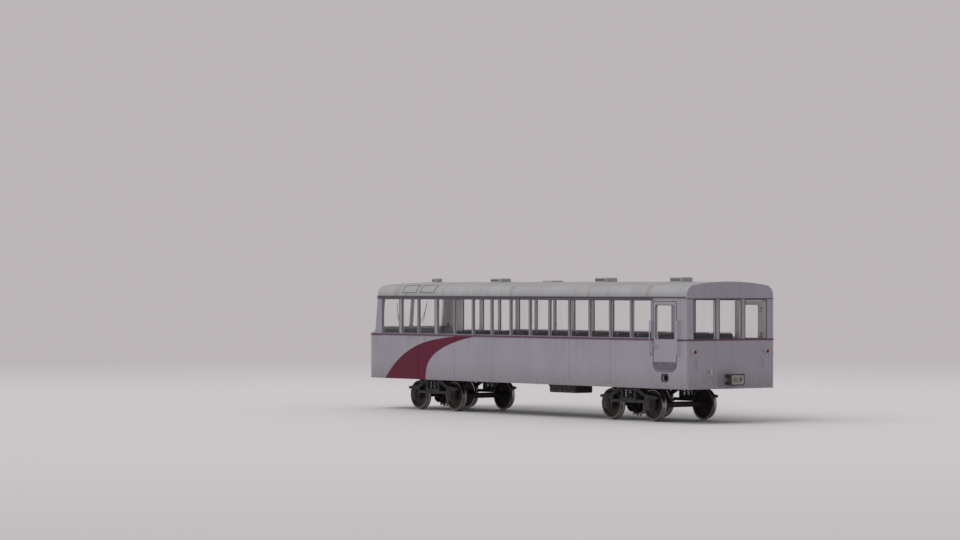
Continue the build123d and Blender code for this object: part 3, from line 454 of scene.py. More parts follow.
looks = {
    "body": body_paint(),
    "roof": roof_paint(),
    "trim": trim_paint(),
    "window": window_pane(),
    "skylight": milky_panel(),
    "lens": glass("lamp_glass", (0.9, 0.9, 0.88), 0.05),
    "red_lens": glass("tail_lens", (0.55, 0.02, 0.02), 0.08),
    "vinyl": vinyl(),
    "floor": floor_rubber(),
}
# Colour, worn colour, roughness, metallic, lumps a metre and depth of grain
plain_looks = {
    "rubber": ("black_rubber", (0.02, 0.019, 0.021), (0.05, 0.048, 0.05), 0.75, 0.0, 30.0),
    "grey_rubber": ("weathered_rubber", (0.11, 0.105, 0.11), (0.17, 0.165, 0.165), 0.8, 0.0, 30.0),
    "bright": ("bright_metal", (0.46, 0.46, 0.47), (0.34, 0.34, 0.35), 0.3, 0.9, 25.0, 0.0003),
    "strip": ("cover_strip", (0.33, 0.31, 0.35), (0.25, 0.235, 0.27), 0.42, 0.4, 12.0, 0.0004),
    # Kick plate: dark grey-blue, as painted shade for the shadow band under the door's rounded bottom
    "painted_shade_kick_plate": ("kick_plate_grey", (0.105, 0.098, 0.13), (0.19, 0.18, 0.21), 0.5, 0.3, 14.0, 0.0006),
    # Window frames: darker grey than the body's silver, as painted shade on the window posts
    "frame_painted_shade": ("window_frame_grey", (0.16, 0.15, 0.175), (0.24, 0.225, 0.25), 0.45, 0.3, 12.0, 0.0004),
    "black": ("frame_black", IRON, (0.075, 0.065, 0.06), 0.6, 0.15, 9.0, 0.001),
    "iron": ("running_iron", (0.045, 0.04, 0.04), RUST, 0.7, 0.35, 14.0, 0.002),
    "spring": ("spring_steel", (0.05, 0.045, 0.045), (0.1, 0.06, 0.045), 0.55, 0.6, 30.0),
    "steel": ("worn_steel", (0.32, 0.31, 0.3), (0.12, 0.09, 0.075), 0.38, 0.85, 20.0, 0.0006),
    "mesh": ("vent_mesh", (0.03, 0.03, 0.032), (0.08, 0.075, 0.075), 0.65, 0.4, 40.0, 0.001),
    "reflector": ("lamp_reflector", (0.75, 0.75, 0.74), (0.62, 0.62, 0.6), 0.16, 1.0, 8.0, 0.0002),
    "piping": ("seat_piping", (0.018, 0.012, 0.03), (0.05, 0.04, 0.07), 0.55, 0.0, 60.0, 0.0004),
    "desk": ("desk_enamel", (0.16, 0.165, 0.17), (0.11, 0.11, 0.115), 0.45, 0.1, 12.0),
    "wood": ("worn_grip", (0.07, 0.035, 0.02), (0.12, 0.07, 0.04), 0.5, 0.0, 35.0),
    "enamel": ("dial_enamel", (0.62, 0.61, 0.58), (0.5, 0.49, 0.46), 0.3, 0.0, 20.0, 0.0002),
}
looks.update({name: flat_paint(*row) for name, row in plain_looks.items()})


def give(look, *names):
    """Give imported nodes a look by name, or a material of their own."""
    for name in names:
        for slot in nodes[name].material_slots:
            slot.material = looks[look] if isinstance(look, str) else look


def paint_nodes():
    give("body", "front_dash", "windscreen_frame", "rear_wall")
    give("roof", "roof", "roof_shoulders", "roof_front", "roof_vents")
    give("trim", "side_mouldings")
    give("floor", "floor")
    give("window", "windscreen_glass", "side_glass", "rear_glass")
    give("skylight", "skylights")
    give("desk", "control_desk")
    give("black", "frame_sills", "sill_flanges", "cross_bearers", "body_bolsters", "air_tank", "battery_box")
    give("iron", "rear_buffer", "front_tow_eye", "hand_brake")
    give("bright", "door_hinges", "door_handrails", "seat_frames", "headlamp", "tail_lamps")
    give("vinyl", "attendant_stool")
    for side in sides:
        give("body", f"side_panel_{side}", f"window_band_{side}", f"door_{side}")
        give("window", f"door_glass_{side}")
    for place, middle in bogie_x.items():
        give("black", f"side_frames_{place}", f"bolster_{place}")
        give("iron", f"axle_boxes_{place}", f"brake_bands_{place}")
        for number, way in ((1, -1), (2, 1)):
            x = middle + way * wheelbase / 2
            give(wheel_metal(f"tread_{place}_{number}", x, 0.336, 0.366), f"wheels_{place}_{number}")
            give("iron", f"axle_{place}_{number}")
        cog_x = middle - wheelbase / 2
        give(wheel_metal(f"cog_{place}_metal", cog_x, 0.262, 0.325, (0.05, 0.045, 0.042)), f"cog_{place}")


# Shapes


def circle(middle, side, up, radius, steps, start=0.0):
    """Points round a middle, in the plane of two directions."""
    turns = [start + 2 * pi * k / steps for k in range(steps)]
    return [middle + radius * (side * cos(t) + up * sin(t)) for t in turns]


# Shapes begun and not yet made into pieces
shapes = []


class Shape:
    """Collects the parts of one piece in a single mesh, which rides on a body."""

    def __init__(self, name="", look="", body="car", slot="", replaced=""):
        self.name, self.look, self.body, self.slot, self.replaced = name, look, body, slot, replaced
        self.points = []
        self.faces = []
        if name:
            shapes.append(self)

    def add(self, points, faces):
        first = len(self.points)
        self.points += [Vector(p) for p in points]
        self.faces += [[first + i for i in face] for face in faces]

    def box(self, corner, opposite):
        xs, ys, zs = (sorted(pair) for pair in zip(corner, opposite))
        points = [(x, y, z) for z in zs for y in ys for x in xs]
        self.add(points, ((0, 2, 3, 1), (4, 5, 7, 6), (0, 1, 5, 4), (2, 6, 7, 3), (0, 4, 6, 2), (1, 3, 7, 5)))

    def side_slab(self, sign, xs, zs, proud, face=half_width, base=-sunk):
        """Box that stands proud of a side's face."""
        self.box((xs[0], sign * (face + base), zs[0]), (xs[1], sign * (face + proud), zs[1]))

    def rear_slab(self, ys, zs, proud):
        """Box that stands proud of the rear wall."""
        self.box((rear_x - sunk, ys[0], zs[0]), (rear_x + proud, ys[1], zs[1]))

    def rings(self, rings, closed=False):
        """Skin over a row of rings with as many points each."""
        size = len(rings[0])
        faces = []
        for i in range(len(rings) - (0 if closed else 1)):
            a, b = i * size, (i + 1) % len(rings) * size
            faces += [(a + k, a + (k + 1) % size, b + (k + 1) % size, b + k) for k in range(size)]
        if not closed:
            faces.append(tuple(reversed(range(size))))
            faces.append(tuple(range(len(rings) * size - size, len(rings) * size)))
        self.add([p for ring in rings for p in ring], faces)

    def tube(self, path, radius, steps=8, closed=False):
        """Round bar along a path."""
        path = [Vector(p) for p in path]
        rings = []
        side = None
        for i, point in enumerate(path):
            after = path[(i + 1) % len(path)] if closed or i + 1 < len(path) else point
            before = path[i - 1] if closed or i else point
            along = (after - before).normalized()
            if side is None:
                side = along.orthogonal().normalized()
            side = (side - along * side.dot(along)).normalized()
            rings.append(circle(point, side, along.cross(side), radius, steps))
        self.rings(rings, closed)

    def lathe(self, profile, place, axis, steps=24):
        """Turn a profile of (radius, height) pairs about an axis through a place."""
        axis = Vector(axis).normalized()
        side = axis.orthogonal().normalized()
        up = axis.cross(side)
        foot = Vector(place)
        self.rings([circle(foot + axis * high, side, up, max(r, 1e-5), steps) for r, high in profile])

    def studs(self, places, normal, radius, height=None, steps=6):
        """Rivet or bolt heads at many places."""
        height = height or radius * 0.5
        profile = ((radius, -sunk), (radius, height * 0.35), (radius * 0.6, height))
        for place in places:
            self.lathe(profile, place, normal, steps)

    def side_studs(self, sign, spots, radius, height=None, face=half_width):
        """Rivet or bolt heads on a side's face at (x, z) spots."""
        self.studs([(x, sign * face, z) for x, z in spots], (0, sign, 0), radius, height)

    def sweep(self, path, section):
        """Run a section of (outward, up) pairs along a plan path of (point, outward normal) pairs."""
        self.rings([[point + out * a + Z * b for a, b in section] for point, out in path])

    def piece(self):
        """Make the object, with its material."""
        data = bpy.data.meshes.new(self.name)
        data.from_pydata(self.points, [], self.faces)
        data.validate()
        mesh = bmesh.new()
        mesh.from_mesh(data)
        bmesh.ops.recalc_face_normals(mesh, faces=mesh.faces)
        mesh.to_mesh(data)
        mesh.free()
        data.polygons.foreach_set("use_smooth", [True] * len(data.polygons))
        data.set_sharp_from_angle(angle=radians(32))
        data.materials.append(looks[self.look])
        piece = new_object(self.name, data)
        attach(piece, self.body)
        if self.replaced:
            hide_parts(self.replaced)


def spaced(low, high, pitch):
    """Even places from low to high, no further apart than the pitch."""
    count = max(1, ceil((high - low) / pitch))
    return [low + (high - low) * n / count for n in range(count + 1)]


def stations(path, pitch):
    """Places at about the pitch along a path of (point, normal) pairs, with their normals."""
    for (a, normal_a), (b, normal_b) in zip(path, path[1:]):
        steps = max(1, round((b - a).length / pitch))
        for k in range(steps):
            yield a.lerp(b, k / steps), normal_a.lerp(normal_b, k / steps)


def bowed(rise, radius, steps):
    """Half an outline as wide as the body, from its rounded corner along a shallow bow to its middle.

    Each point is (across, up from the middle, normal across, normal up).
    """
    bow = (half_width**2 + rise**2) / (2 * rise)
    corner = half_width - radius
    corner_up = sqrt((bow - radius) ** 2 - corner**2)
    lean = atan2(corner, corner_up)
    half = []
    for n in range(steps + 1):
        turn = (pi / 2 - lean) * n / steps
        point = (corner + radius * cos(turn), corner_up - bow + radius * sin(turn))
        half.append((*point, cos(turn), sin(turn)))
    for n in range(1, steps + 1):
        turn = lean * (1 - n / steps)
        half.append((bow * sin(turn), bow * cos(turn) - bow, sin(turn), cos(turn)))
    return half


def nose_line(setback, radius, z, end_x=split_x, steps=10):
    """Plan of the front from one side round to the other, as (point, outward normal) pairs."""
    half = [(Vector((end_x, half_width, z)), Y)]
    for y, up, across, out in bowed(front_bow, radius, steps):
        half.append((Vector((front_x + setback - up, y, z)), Vector((-out, across, 0))))
    return half + [(Vector((p.x, -p.y, z)), Vector((n.x, -n.y, 0))) for p, n in reversed(half[:-1])]


def roof_line(steps=8):
    """Outline across the roof, without its headers, as (point, outward normal) pairs at X 0."""
    half = []
    for y, up, across, out in bowed(crown_rise, roof_radius, steps):
        half.append((Vector((0, y, crown_z + up)), Vector((0, across, out))))
    return half + [(Vector((0, -p.y, p.z)), Vector((0, -n.y, n.z))) for p, n in reversed(half[:-1])]


def rounded(low, high, radius, steps=4):
    """Rounded rectangle as points (a, b) from its low and high corners."""
    points = []
    for n, (a, b) in enumerate((high, (low[0], high[1]), low, (high[0], low[1]))):
        middle = (a - radius if a == high[0] else a + radius, b - radius if b == high[1] else b + radius)
        for k in range(steps + 1):
            turn = pi / 2 * (n + k / steps)
            points.append((middle[0] + radius * cos(turn), middle[1] + radius * sin(turn)))
    return points


def divided(loop, pitch):
    """Closed outline with its long edges cut at about the pitch."""
    points = []
    for (a, b), (c, d) in zip(loop, loop[1:] + loop[:1]):
        count = max(1, round(sqrt((c - a) ** 2 + (d - b) ** 2) / pitch))
        points += [(a + (c - a) * k / count, b + (d - b) * k / count) for k in range(count)]
    return points


def surround(shape, outline, place, width, proud, base=-sunk):
    """Flat frame round an outline; place maps (a, b, outward) to a point."""
    middle = [sum(axis) / len(outline) for axis in zip(*outline)]
    span = [max(axis) - m for axis, m in zip(zip(*outline), middle)]
    rings = []
    for a, b in outline:
        wide = (a + width * (a - middle[0]) / span[0], b + width * (b - middle[1]) / span[1])
        rings.append([place(a, b, base), place(a, b, proud), place(*wide, proud * 0.6), place(*wide, base)])
    shape.rings(rings, closed=True)


# Body

# Windows as pairs of X, as in the part's source
window_spans = [(split_x + post_width / 2, post_x[0] - wide_post_width / 2)]
for n in range(window_count):
    before = wide_post_width / 2 if n in wide_posts else post_width / 2
    after = wide_post_width / 2 if n + 1 in wide_posts else post_width / 2
    window_spans.append((post_x[n] + before, post_x[n + 1] - after))


def window(low, high, inset=0.0):
    """Outline of a window between two places."""
    return rounded((low + inset, window_low_z + inset), (high - inset, window_high_z - inset), window_radius)


def side_place(sign, depth=0.0):
    """Map for surround(): along the car, up, and outwards from a side."""
    return lambda a, b, out: Vector((a, sign * (half_width - depth + out), b))


def screen_place(a, b, out):
    """On the raked and bowed windscreen at a width, a height and a distance outwards."""
    lean = screen_setback + screen_rake * (b - cowl_z) / (header_z - cowl_z)
    return Vector((front_x + lean + bow_radius - sqrt((bow_radius + out) ** 2 - a * a), a, b))


def rear_place(a, b, out):
    """On the rear wall, at a width, a height and a distance outwards."""
    return Vector((rear_x + out, a, b))


def dress_sides():
    """Window frames, panel strips and rivets along both sides."""
    # The frames take a darker grey than their silver paint: painted shade on the window posts.
    frames = Shape("side_window_frames", "frame_painted_shade", slot="silver_paint")
    rubbers = Shape("side_window_rubbers", "rubber")
    strips = Shape("panel_strips", "body", slot="silver_paint")
    rivets = Shape("side_rivets", "body", slot="silver_paint")
    glazing_depth = 0.024
    strip_half = 0.016
    rivet_rows = (
        (split_x + 0.03, end_wall_x - 0.03, skirt_z + rivet_inset),
        (split_x + 0.03, door_front_x - 0.04, belt_z - rivet_inset),
        (door_rear_x + 0.04, end_wall_x - 0.03, belt_z - rivet_inset),
        (split_x, rear_x - 0.05, header_z + 0.05),
    )
    for sign in sides.values():
        glazing = side_place(sign, glazing_depth)
        for low_x, high_x in window_spans:
            surround(frames, window(low_x, high_x), side_place(sign), 0.016, 0.004)
            surround(frames, window(low_x, high_x), glazing, -0.014, 0.009, 0.0)
            surround(rubbers, window(low_x, high_x, 0.012), glazing, -0.005, 0.004, 0.0)
        for x in post_x[1:window_count:2]:
            strips.side_slab(sign, (x - strip_half, x + strip_half), (skirt_z + 0.002, belt_z - sunk), 0.003)
            column = spaced(skirt_z + 0.09, belt_z - 0.09, rivet_pitch)
            rivets.side_studs(sign, [(x + a, z) for a in (-0.03, 0.03) for z in column], rivet)
        for start, end, z in rivet_rows:
            rivets.side_studs(sign, [(x, z) for x in spaced(start, end, rivet_pitch)], rivet)
        for x in post_x[:-1]:
            column = spaced(window_low_z + 0.06, window_high_z - 0.06, 0.15)
            rivets.side_studs(sign, [(x, z) for z in column], 0.004)
        skirt_edge = (skirt_z, skirt_z + 0.018)
        strips.side_slab(sign, (split_x + 0.01, end_wall_x - 0.01), skirt_edge, 0.006)
        strips.side_slab(sign, (door_front_x, rear_x - 0.04), (header_z - 0.03, header_z - 0.006), 0.006)
        drip = (window_low_z - 0.004, window_low_z + 0.001)
        strips.side_slab(sign, (split_x + 0.01, door_front_x - 0.012), drip, 0.016)


def dress_nose():
    """Belt, header and skirt trim round the front, windscreen rubbers, wipers and hand grips."""
    trim = Shape("nose_trim", "trim", slot="red_paint")
    depth, height = moulding_depth, moulding_height
    belt = ((depth, -0.006), (depth, 0.034), (0.004, height), (-0.068, height), (-0.004, -0.006))
    trim.sweep(nose_line(0, dash_radius, belt_z), belt)
    header = ((-0.004, -height), (0.014, -height), (depth, 0.0), (-0.004, 0.0))
    trim.sweep(nose_line(head_setback, screen_radius, header_z), header)

    edge = Shape("nose_edge", "body", slot="silver_paint")
    section = ((-0.002, 0.0), (0.006, 0.0), (0.006, 0.018), (-0.002, 0.018))
    edge.sweep(nose_line(0, dash_radius, skirt_z), section)

    rivets = Shape("nose_rivets", "body", slot="silver_paint")
    for z in (skirt_z + rivet_inset, belt_z - rivet_inset):
        for place, normal in stations(nose_line(0, dash_radius, z, steps=18), rivet_pitch):
            rivets.studs([place], normal, rivet)

    rubbers = Shape("windscreen_rubbers", "rubber")
    wipers = Shape("wipers", "black")
    grips = Shape("nose_grips", "bright")
    screen_low, screen_high = cowl_z + 0.055, header_z - 0.06
    # Wiper arm and blade as (across, above the windscreen's foot, outwards)
    arm = ((0.3, -0.028, 0.026), (0.36, 0.2, 0.03), (0.43, 0.36, 0.012))
    blade = [(0.39 + 0.04 * k, 0.12 + 0.24 * k, 0.008) for k in (0, 0.5, 1, 1.5, 2)]
    # Hand grip as (below the belt, outwards)
    bend = ((0.4, 0.02), (0.39, 0.032), (0.37, 0.034), (0.08, 0.034), (0.06, 0.032), (0.05, 0.02))
    grip_y = 0.75
    grip_x = front_x + bow_radius - sqrt(bow_radius**2 - grip_y**2)
    for sign in sides.values():
        low_y, high_y = sorted((sign * 0.035, sign * 0.915))
        outline = rounded((low_y, screen_low), (high_y, screen_high), window_radius, 5)
        surround(rubbers, divided(outline, 0.05), screen_place, 0.02, 0.006)
        pivot = ((0.018, 0.0), (0.018, 0.016), (0.011, 0.03), (0.0, 0.032))
        wipers.lathe(pivot, screen_place(sign * 0.3, screen_low - 0.028, 0.0), (-1, 0, 0.1), 16)
        for path, radius, steps in ((arm, 0.005, 8), (blade, 0.0065, 6)):
            wipers.tube([screen_place(sign * a, screen_low + b, c) for a, b, c in path], radius, steps)
        foot = ((0.028, 0.0), (0.028, 0.006), (0.012, 0.012), (0.012, 0.03))
        for drop, _ in (bend[0], bend[-1]):
            grips.lathe(foot, (grip_x, sign * grip_y, belt_z - drop), (-1, 0, 0), 16)
        grips.tube([(grip_x - reach, sign * grip_y, belt_z - drop) for drop, reach in bend], grip_radius)


def dress_lamps():
    """Reflector, bulb and glass in the headlamp, its screws, and lenses in the tail lamps."""
    lamp = sum(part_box("headlamp"), Vector()) / 2
    lamp.x = front_x
    bowl = Shape("headlamp_reflector", "reflector", slot="bright_metal")
    hollow = ((0.05, 0.074), (0.062, 0.05), (0.078, 0.025), (0.084, 0.004), (0.081, 0.004), (0.058, 0.05))
    bowl.lathe((*hollow, (0.044, 0.071)), lamp, X, 40)
    bowl.lathe(((0.014, 0.072), (0.014, 0.045), (0.009, 0.036), (0.0, 0.034)), lamp, X, 20)
    lens = Shape("headlamp_glass", "lens", slot="clear_glass")
    dome = ((0.0, -0.022), (0.03, -0.021), (0.06, -0.017), (0.09, -0.01), (0.104, -0.003), (0.104, 0.001))
    lens.lathe((*dome, (0.0, 0.001)), lamp - X * 0.004, X, 48)
    screws = Shape("headlamp_screws", "bright")
    rim, rim_radius = lamp - X * 0.02, 0.128
    for place in circle(rim, Y, Z, rim_radius, 6, pi / 6):
        screws.studs([place], (place - rim) / rim_radius - X, 0.006)

    low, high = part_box("tail_lamps")
    lenses = Shape("tail_lenses", "red_lens", slot="lamp_red")
    rims = Shape("tail_lamp_rims", "bright")
    for sign in sides.values():
        y, z = sign * (high.y - 0.07), (low.z + high.z) / 2
        dome = ((0.048, 0.0), (0.048, 0.006), (0.036, 0.014), (0.018, 0.018), (0.0, 0.019))
        lenses.lathe(dome, (high.x - 0.006, y, z), X, 32)
        rims.lathe(((0.082, -sunk), (0.082, 0.006), (0.0705, 0.01), (0.0705, -sunk)), (rear_x, y, z), X, 32)
        spots = [(rear_x + 0.006, y + 0.077 * cos(t), z + 0.077 * sin(t)) for t in (0.8, 2.4, 3.9, 5.5)]
        rims.studs(spots, X, 0.004)


def dress_roof():
    """Gutters, joint strips across the roof, rivets, skylight rubbers and ventilator details."""
    gutter = Shape("gutters", "trim", slot="red_paint")
    section = ((-0.002, -0.001), (0.014, 0.006), (0.018, 0.03), (0.015, 0.03), (0.01, 0.014), (-0.002, 0.012))
    gutter.sweep(nose_line(head_setback, screen_radius, header_z, rear_x - 0.03), section)

    strips = Shape("roof_strips", "roof", slot="roof_paint")
    rivets = Shape("roof_rivets", "roof", slot="roof_paint")
    skin = roof_line()
    strip = ((-0.02, -sunk), (-0.018, 0.003), (0.018, 0.003), (0.02, -sunk))
    for x in post_x[2::2] + [rear_x - 0.035]:
        strips.rings([[p + out * h + X * (x + w) for w, h in strip] for p, out in skin])
        for place, normal in stations(skin, 0.09):
            for w in (-0.01, 0.01):
                rivets.studs([place + X * (x + w) + normal * 0.002], normal, 0.005, steps=5)

    frames = Shape("skylight_rubbers", "grey_rubber")
    half_length, half_across = 0.28, 0.12
    centre_y, centre_z = half_width - roof_radius * 0.3, shoulder_z - roof_radius * 0.22
    fine_skin = roof_line(40)
    for n in range(2):
        x = (post_x[n] + post_x[n + 1]) / 2
        for sign in sides.values():
            edge = []
            for p, out in fine_skin:
                down = (p.y * sign - centre_y - p.z + centre_z) / sqrt(2)
                if p.y * sign > 0.5 and abs(down) <= half_across:
                    edge.append((p, out))
            for way in (-1, 1):
                end_x = x + way * half_length
                rim = ((0.0, -sunk), (0.0, 0.007), (0.016 * way, 0.005), (0.018 * way, -sunk))
                frames.rings([[p + out * h + X * (end_x + w) for w, h in rim] for p, out in edge])
            for p, out in (edge[0], edge[-1]):
                ends = [p + out * 0.001 + X * (x + way * (half_length + 0.012)) for way in (-1, 1)]
                frames.tube(ends, 0.008)

    slots = Shape("vent_louvres", "mesh")
    bolts = Shape("vent_bolts", "bright")
    flat_ventilator = 0.05
    for place, length, width, height in ventilators:
        x = front_x + place
        if height > flat_ventilator:
            xs = (x - length / 2 + 0.065, x + length / 2 - 0.065)
            for sign in sides.values():
                for level in (0.35, 0.6):
                    z = crown_z + height * level
                    slots.side_slab(sign, xs, (z - 0.006, z + 0.006), 0.004, width / 2)
        xs = (0.05 - length / 2, length / 2 - 0.05)
        ys = (0.05 - width / 2, width / 2 - 0.05)
        bolts.studs([(x + a, b, crown_z + height) for a in xs for b in ys], Z, 0.008, 0.002)


def dress_doors():
    """Rubber edges, handle, lock and kick plate on each door; sills, toe hole rims and handrail flanges."""
    for side, sign in sides.items():
        body = f"door_{side}"
        place = side_place(sign)
        out = (0, sign, 0)
        rubber = Shape(f"door_rubbers_{side}", "rubber", body)
        low, high = (door_front_x + 0.008, door_low_z + 0.002), (door_rear_x - 0.008, door_high_z - 0.002)
        turn_z = door_low_z + door_bottom_radius
        edge = [p for p in rounded(low, high, 0.012, 5) if p[1] >= turn_z]
        edge += [p for p in rounded(low, high, door_bottom_radius - 0.008, 10) if p[1] < turn_z]
        surround(rubber, edge, place, -0.012, 0.003)
        pane_top = door_high_z - 0.094
        pane = rounded((door_front_x + 0.1, window_low_z), (door_rear_x - 0.1, pane_top), window_radius)
        surround(rubber, pane, place, 0.012, 0.004)

        fittings = Shape(f"door_handle_{side}", "bright", body)
        x, z = door_front_x + 0.055, belt_z - 0.12
        fittings.side_slab(sign, (x - 0.022, x + 0.022), (z - 0.09, z + 0.07), 0.004)
        fittings.lathe(((0.014, 0.0), (0.014, 0.03), (0.01, 0.036), (0.0, 0.037)), place(x, z, 0), out, 20)
        grip = (place(x, z, 0.03), place(x + 0.04, z - 0.004, 0.034), place(x + 0.12, z - 0.012, 0.03))
        fittings.tube(grip, 0.009)
        fittings.lathe(((0.011, 0.0), (0.011, 0.006), (0.0, 0.007)), place(x, z - 0.06, 0.003), out, 16)

        # Kick plate round the door's rounded bottom, dark grey-blue as painted shade for the shadow there.
        plate = Shape(f"door_kick_plate_{side}", "painted_shade_kick_plate", body)
        proud = 0.0025
        low, high = (door_front_x + 0.03, door_low_z + 0.026), (door_rear_x - 0.03, door_low_z + 0.215)
        edge = [p for p in rounded(low, high, 0.012, 4) if p[1] > door_low_z + 0.15]
        edge += [p for p in rounded(low, (high[0], high[1] + 0.4), 0.165, 10) if p[1] < door_low_z + 0.2]
        plate.rings([[place(a, b, level) for a, b in edge] for level in (-sunk, proud)])
        spots = [(x, door_low_z + 0.2) for x in spaced(low[0] + 0.02, high[0] - 0.02, 0.09)]
        spots += [(x, door_low_z + 0.04) for x in spaced(low[0] + 0.17, high[0] - 0.17, 0.09)]
        plate.side_studs(sign, spots, 0.004, face=half_width + proud)

    sills = Shape("door_sills", "bright")
    toe = Shape("toe_hole_rims", "rubber")
    flanges = Shape("handrail_flanges", "bright")
    middle_x = (door_front_x + door_rear_x) / 2
    hole = rounded((middle_x - 0.1, skirt_z + 0.185), (middle_x + 0.1, skirt_z + 0.315), 0.05, 6)
    sill_x = (door_front_x + 0.21, door_rear_x - 0.21)
    sill_z = (door_low_z - 0.012, door_low_z - 0.0065)
    for sign in sides.values():
        sills.side_slab(sign, sill_x, sill_z, 0.004, base=0.004 - wall)
        surround(toe, hole, side_place(sign), 0.03, 0.004)
        for x in (door_front_x - 0.045, door_rear_x + 0.07):
            for z in (belt_z - 0.32, belt_z + 0.44):
                foot = side_place(sign)(x, z, 0)
                disc = ((0.034, -sunk), (0.034, 0.006), (0.02, 0.011), (0.0145, 0.011))
                flanges.lathe(disc, foot, (0, sign, 0), 20)
                flanges.studs(circle(foot + Y * sign * 0.006, X, Z, 0.024, 4), (0, sign, 0), 0.0035)


def dress_rear():
    """Window rubbers, belt band, corner strips, rivets, hand grips and socket on the rear wall."""
    rubbers = Shape("rear_window_rubbers", "rubber")
    for y in (-0.76, 0, 0.76):
        surround(rubbers, window(y - 0.32, y + 0.32), rear_place, 0.013, 0.005)

    trim = Shape("rear_trim", "trim", slot="red_paint")
    trim.rear_slab((-half_width, half_width), (belt_z, belt_z + 0.035), 0.008)
    trim.rear_slab((-half_width, half_width), (header_z - 0.022, header_z - 0.002), 0.006)
    for sign in sides.values():
        xs, zs = (door_rear_x + 0.008, rear_x + 0.008), (belt_z, belt_z + 0.035)
        trim.side_slab(sign, xs, zs, moulding_depth, base=0.0)

    rivets = Shape("rear_rivets", "strip", slot="silver_paint")
    edge = half_width - 0.03
    joint = 0.43
    levels = (skirt_z + rivet_inset, belt_z - 0.03, header_z + 0.03)
    spots = [(y, z) for y in spaced(-edge, edge, rivet_pitch) for z in levels]
    low_column = spaced(skirt_z + 0.1, belt_z - 0.1, rivet_pitch)
    spots += [(y, z) for z in low_column for y in (-edge, -joint, joint, edge)]
    post_column = spaced(window_low_z + 0.05, window_high_z - 0.05, 0.1)
    spots += [(y, z) for z in post_column for y in (-1.18, -0.38, 0.38, 1.18)]
    rivets.studs([(rear_x, y, z) for y, z in spots], X, rivet)

    strips = Shape("rear_strips", "strip", slot="silver_paint")
    for y in (-joint, joint):
        strips.rear_slab((y - 0.016, y + 0.016), (skirt_z + 0.002, belt_z - 0.002), 0.003)
    for sign in sides.values():
        strips.rear_slab((sign * (half_width - 0.05), sign * half_width), (skirt_z + 0.002, header_z), 0.0025)

    fittings = Shape("rear_fittings", "bright")
    # Hand grip as (below the belt, outwards)
    bend = ((0.62, 0.0), (0.62, 0.04), (0.6, 0.055), (0.44, 0.055), (0.42, 0.04), (0.42, 0.0))
    for y in (0.98, -0.98):
        fittings.tube([(rear_x + reach, y, belt_z - drop) for drop, reach in bend], grip_radius)
        for drop, _ in (bend[0], bend[-1]):
            fittings.lathe(((0.026, -sunk), (0.026, 0.006), (0.012, 0.01)), (rear_x, y, belt_z - drop), X, 16)
    socket = ((0.05, -sunk), (0.05, 0.02), (0.038, 0.05), (0.038, 0.062), (0.0, 0.064))
    fittings.lathe(socket, (rear_x, -0.62, belt_z - 0.7), X, 24)
    fittings.rear_slab((-0.69, -0.55), (belt_z - 0.77, belt_z - 0.63), 0.008)


def dress_drawgear():
    """Bolted base plates, ribs and worn faces on the buffer, and bolts on the towing eye."""
    low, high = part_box("rear_buffer")
    middle_z = (low.z + high.z) / 2
    base = 0.018
    iron = Shape("buffer_mounting", "iron", slot="running_iron")
    for way in (-1, 1):
        iron.rear_slab((-0.17, 0.17), (middle_z + way * 0.068, middle_z + way * 0.12), base)
        top, foot = middle_z + way * 0.066, middle_z + way * 0.118
        rib = ((rear_x + 0.016, foot), (rear_x + 0.016, top), (high.x - 0.041, top))
        for y in (-0.08, 0.08):
            iron.rings([[Vector((x, y + a, z)) for x, z in rib] for a in (-0.008, 0.008)])
        bolts = [(rear_x + base, y, middle_z + way * 0.094) for y in (-0.14, 0.0, 0.14)]
        iron.studs(bolts, X, 0.015, 0.012)

    face = Shape("buffer_rubbing_plate", "steel", slot="worn_steel")
    plate = rounded((-0.185, -0.105), (0.185, 0.105), 0.04, 6)
    hole = rounded((-0.108, -0.033), (0.108, 0.033), 0.004, 6)
    rings = []
    for (a, b), (c, d) in zip(plate, hole):
        ring = ((-0.001, a, b), (0.002, a * 0.985, b * 0.97), (0.002, c * 1.04, d * 1.08), (-0.001, c, d))
        rings.append([Vector((high.x + out, y, middle_z + z)) for out, y, z in ring])
    face.rings(rings, closed=True)

    low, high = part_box("front_tow_eye")
    eye = Shape("tow_eye_bolts", "iron", slot="running_iron")
    spots = [(high.x - 0.02, y, z) for y in (-0.06, 0.06) for z in (high.z - 0.02, low.z + 0.02)]
    eye.studs(spots, (-1, 0, 0), 0.011, 0.01)


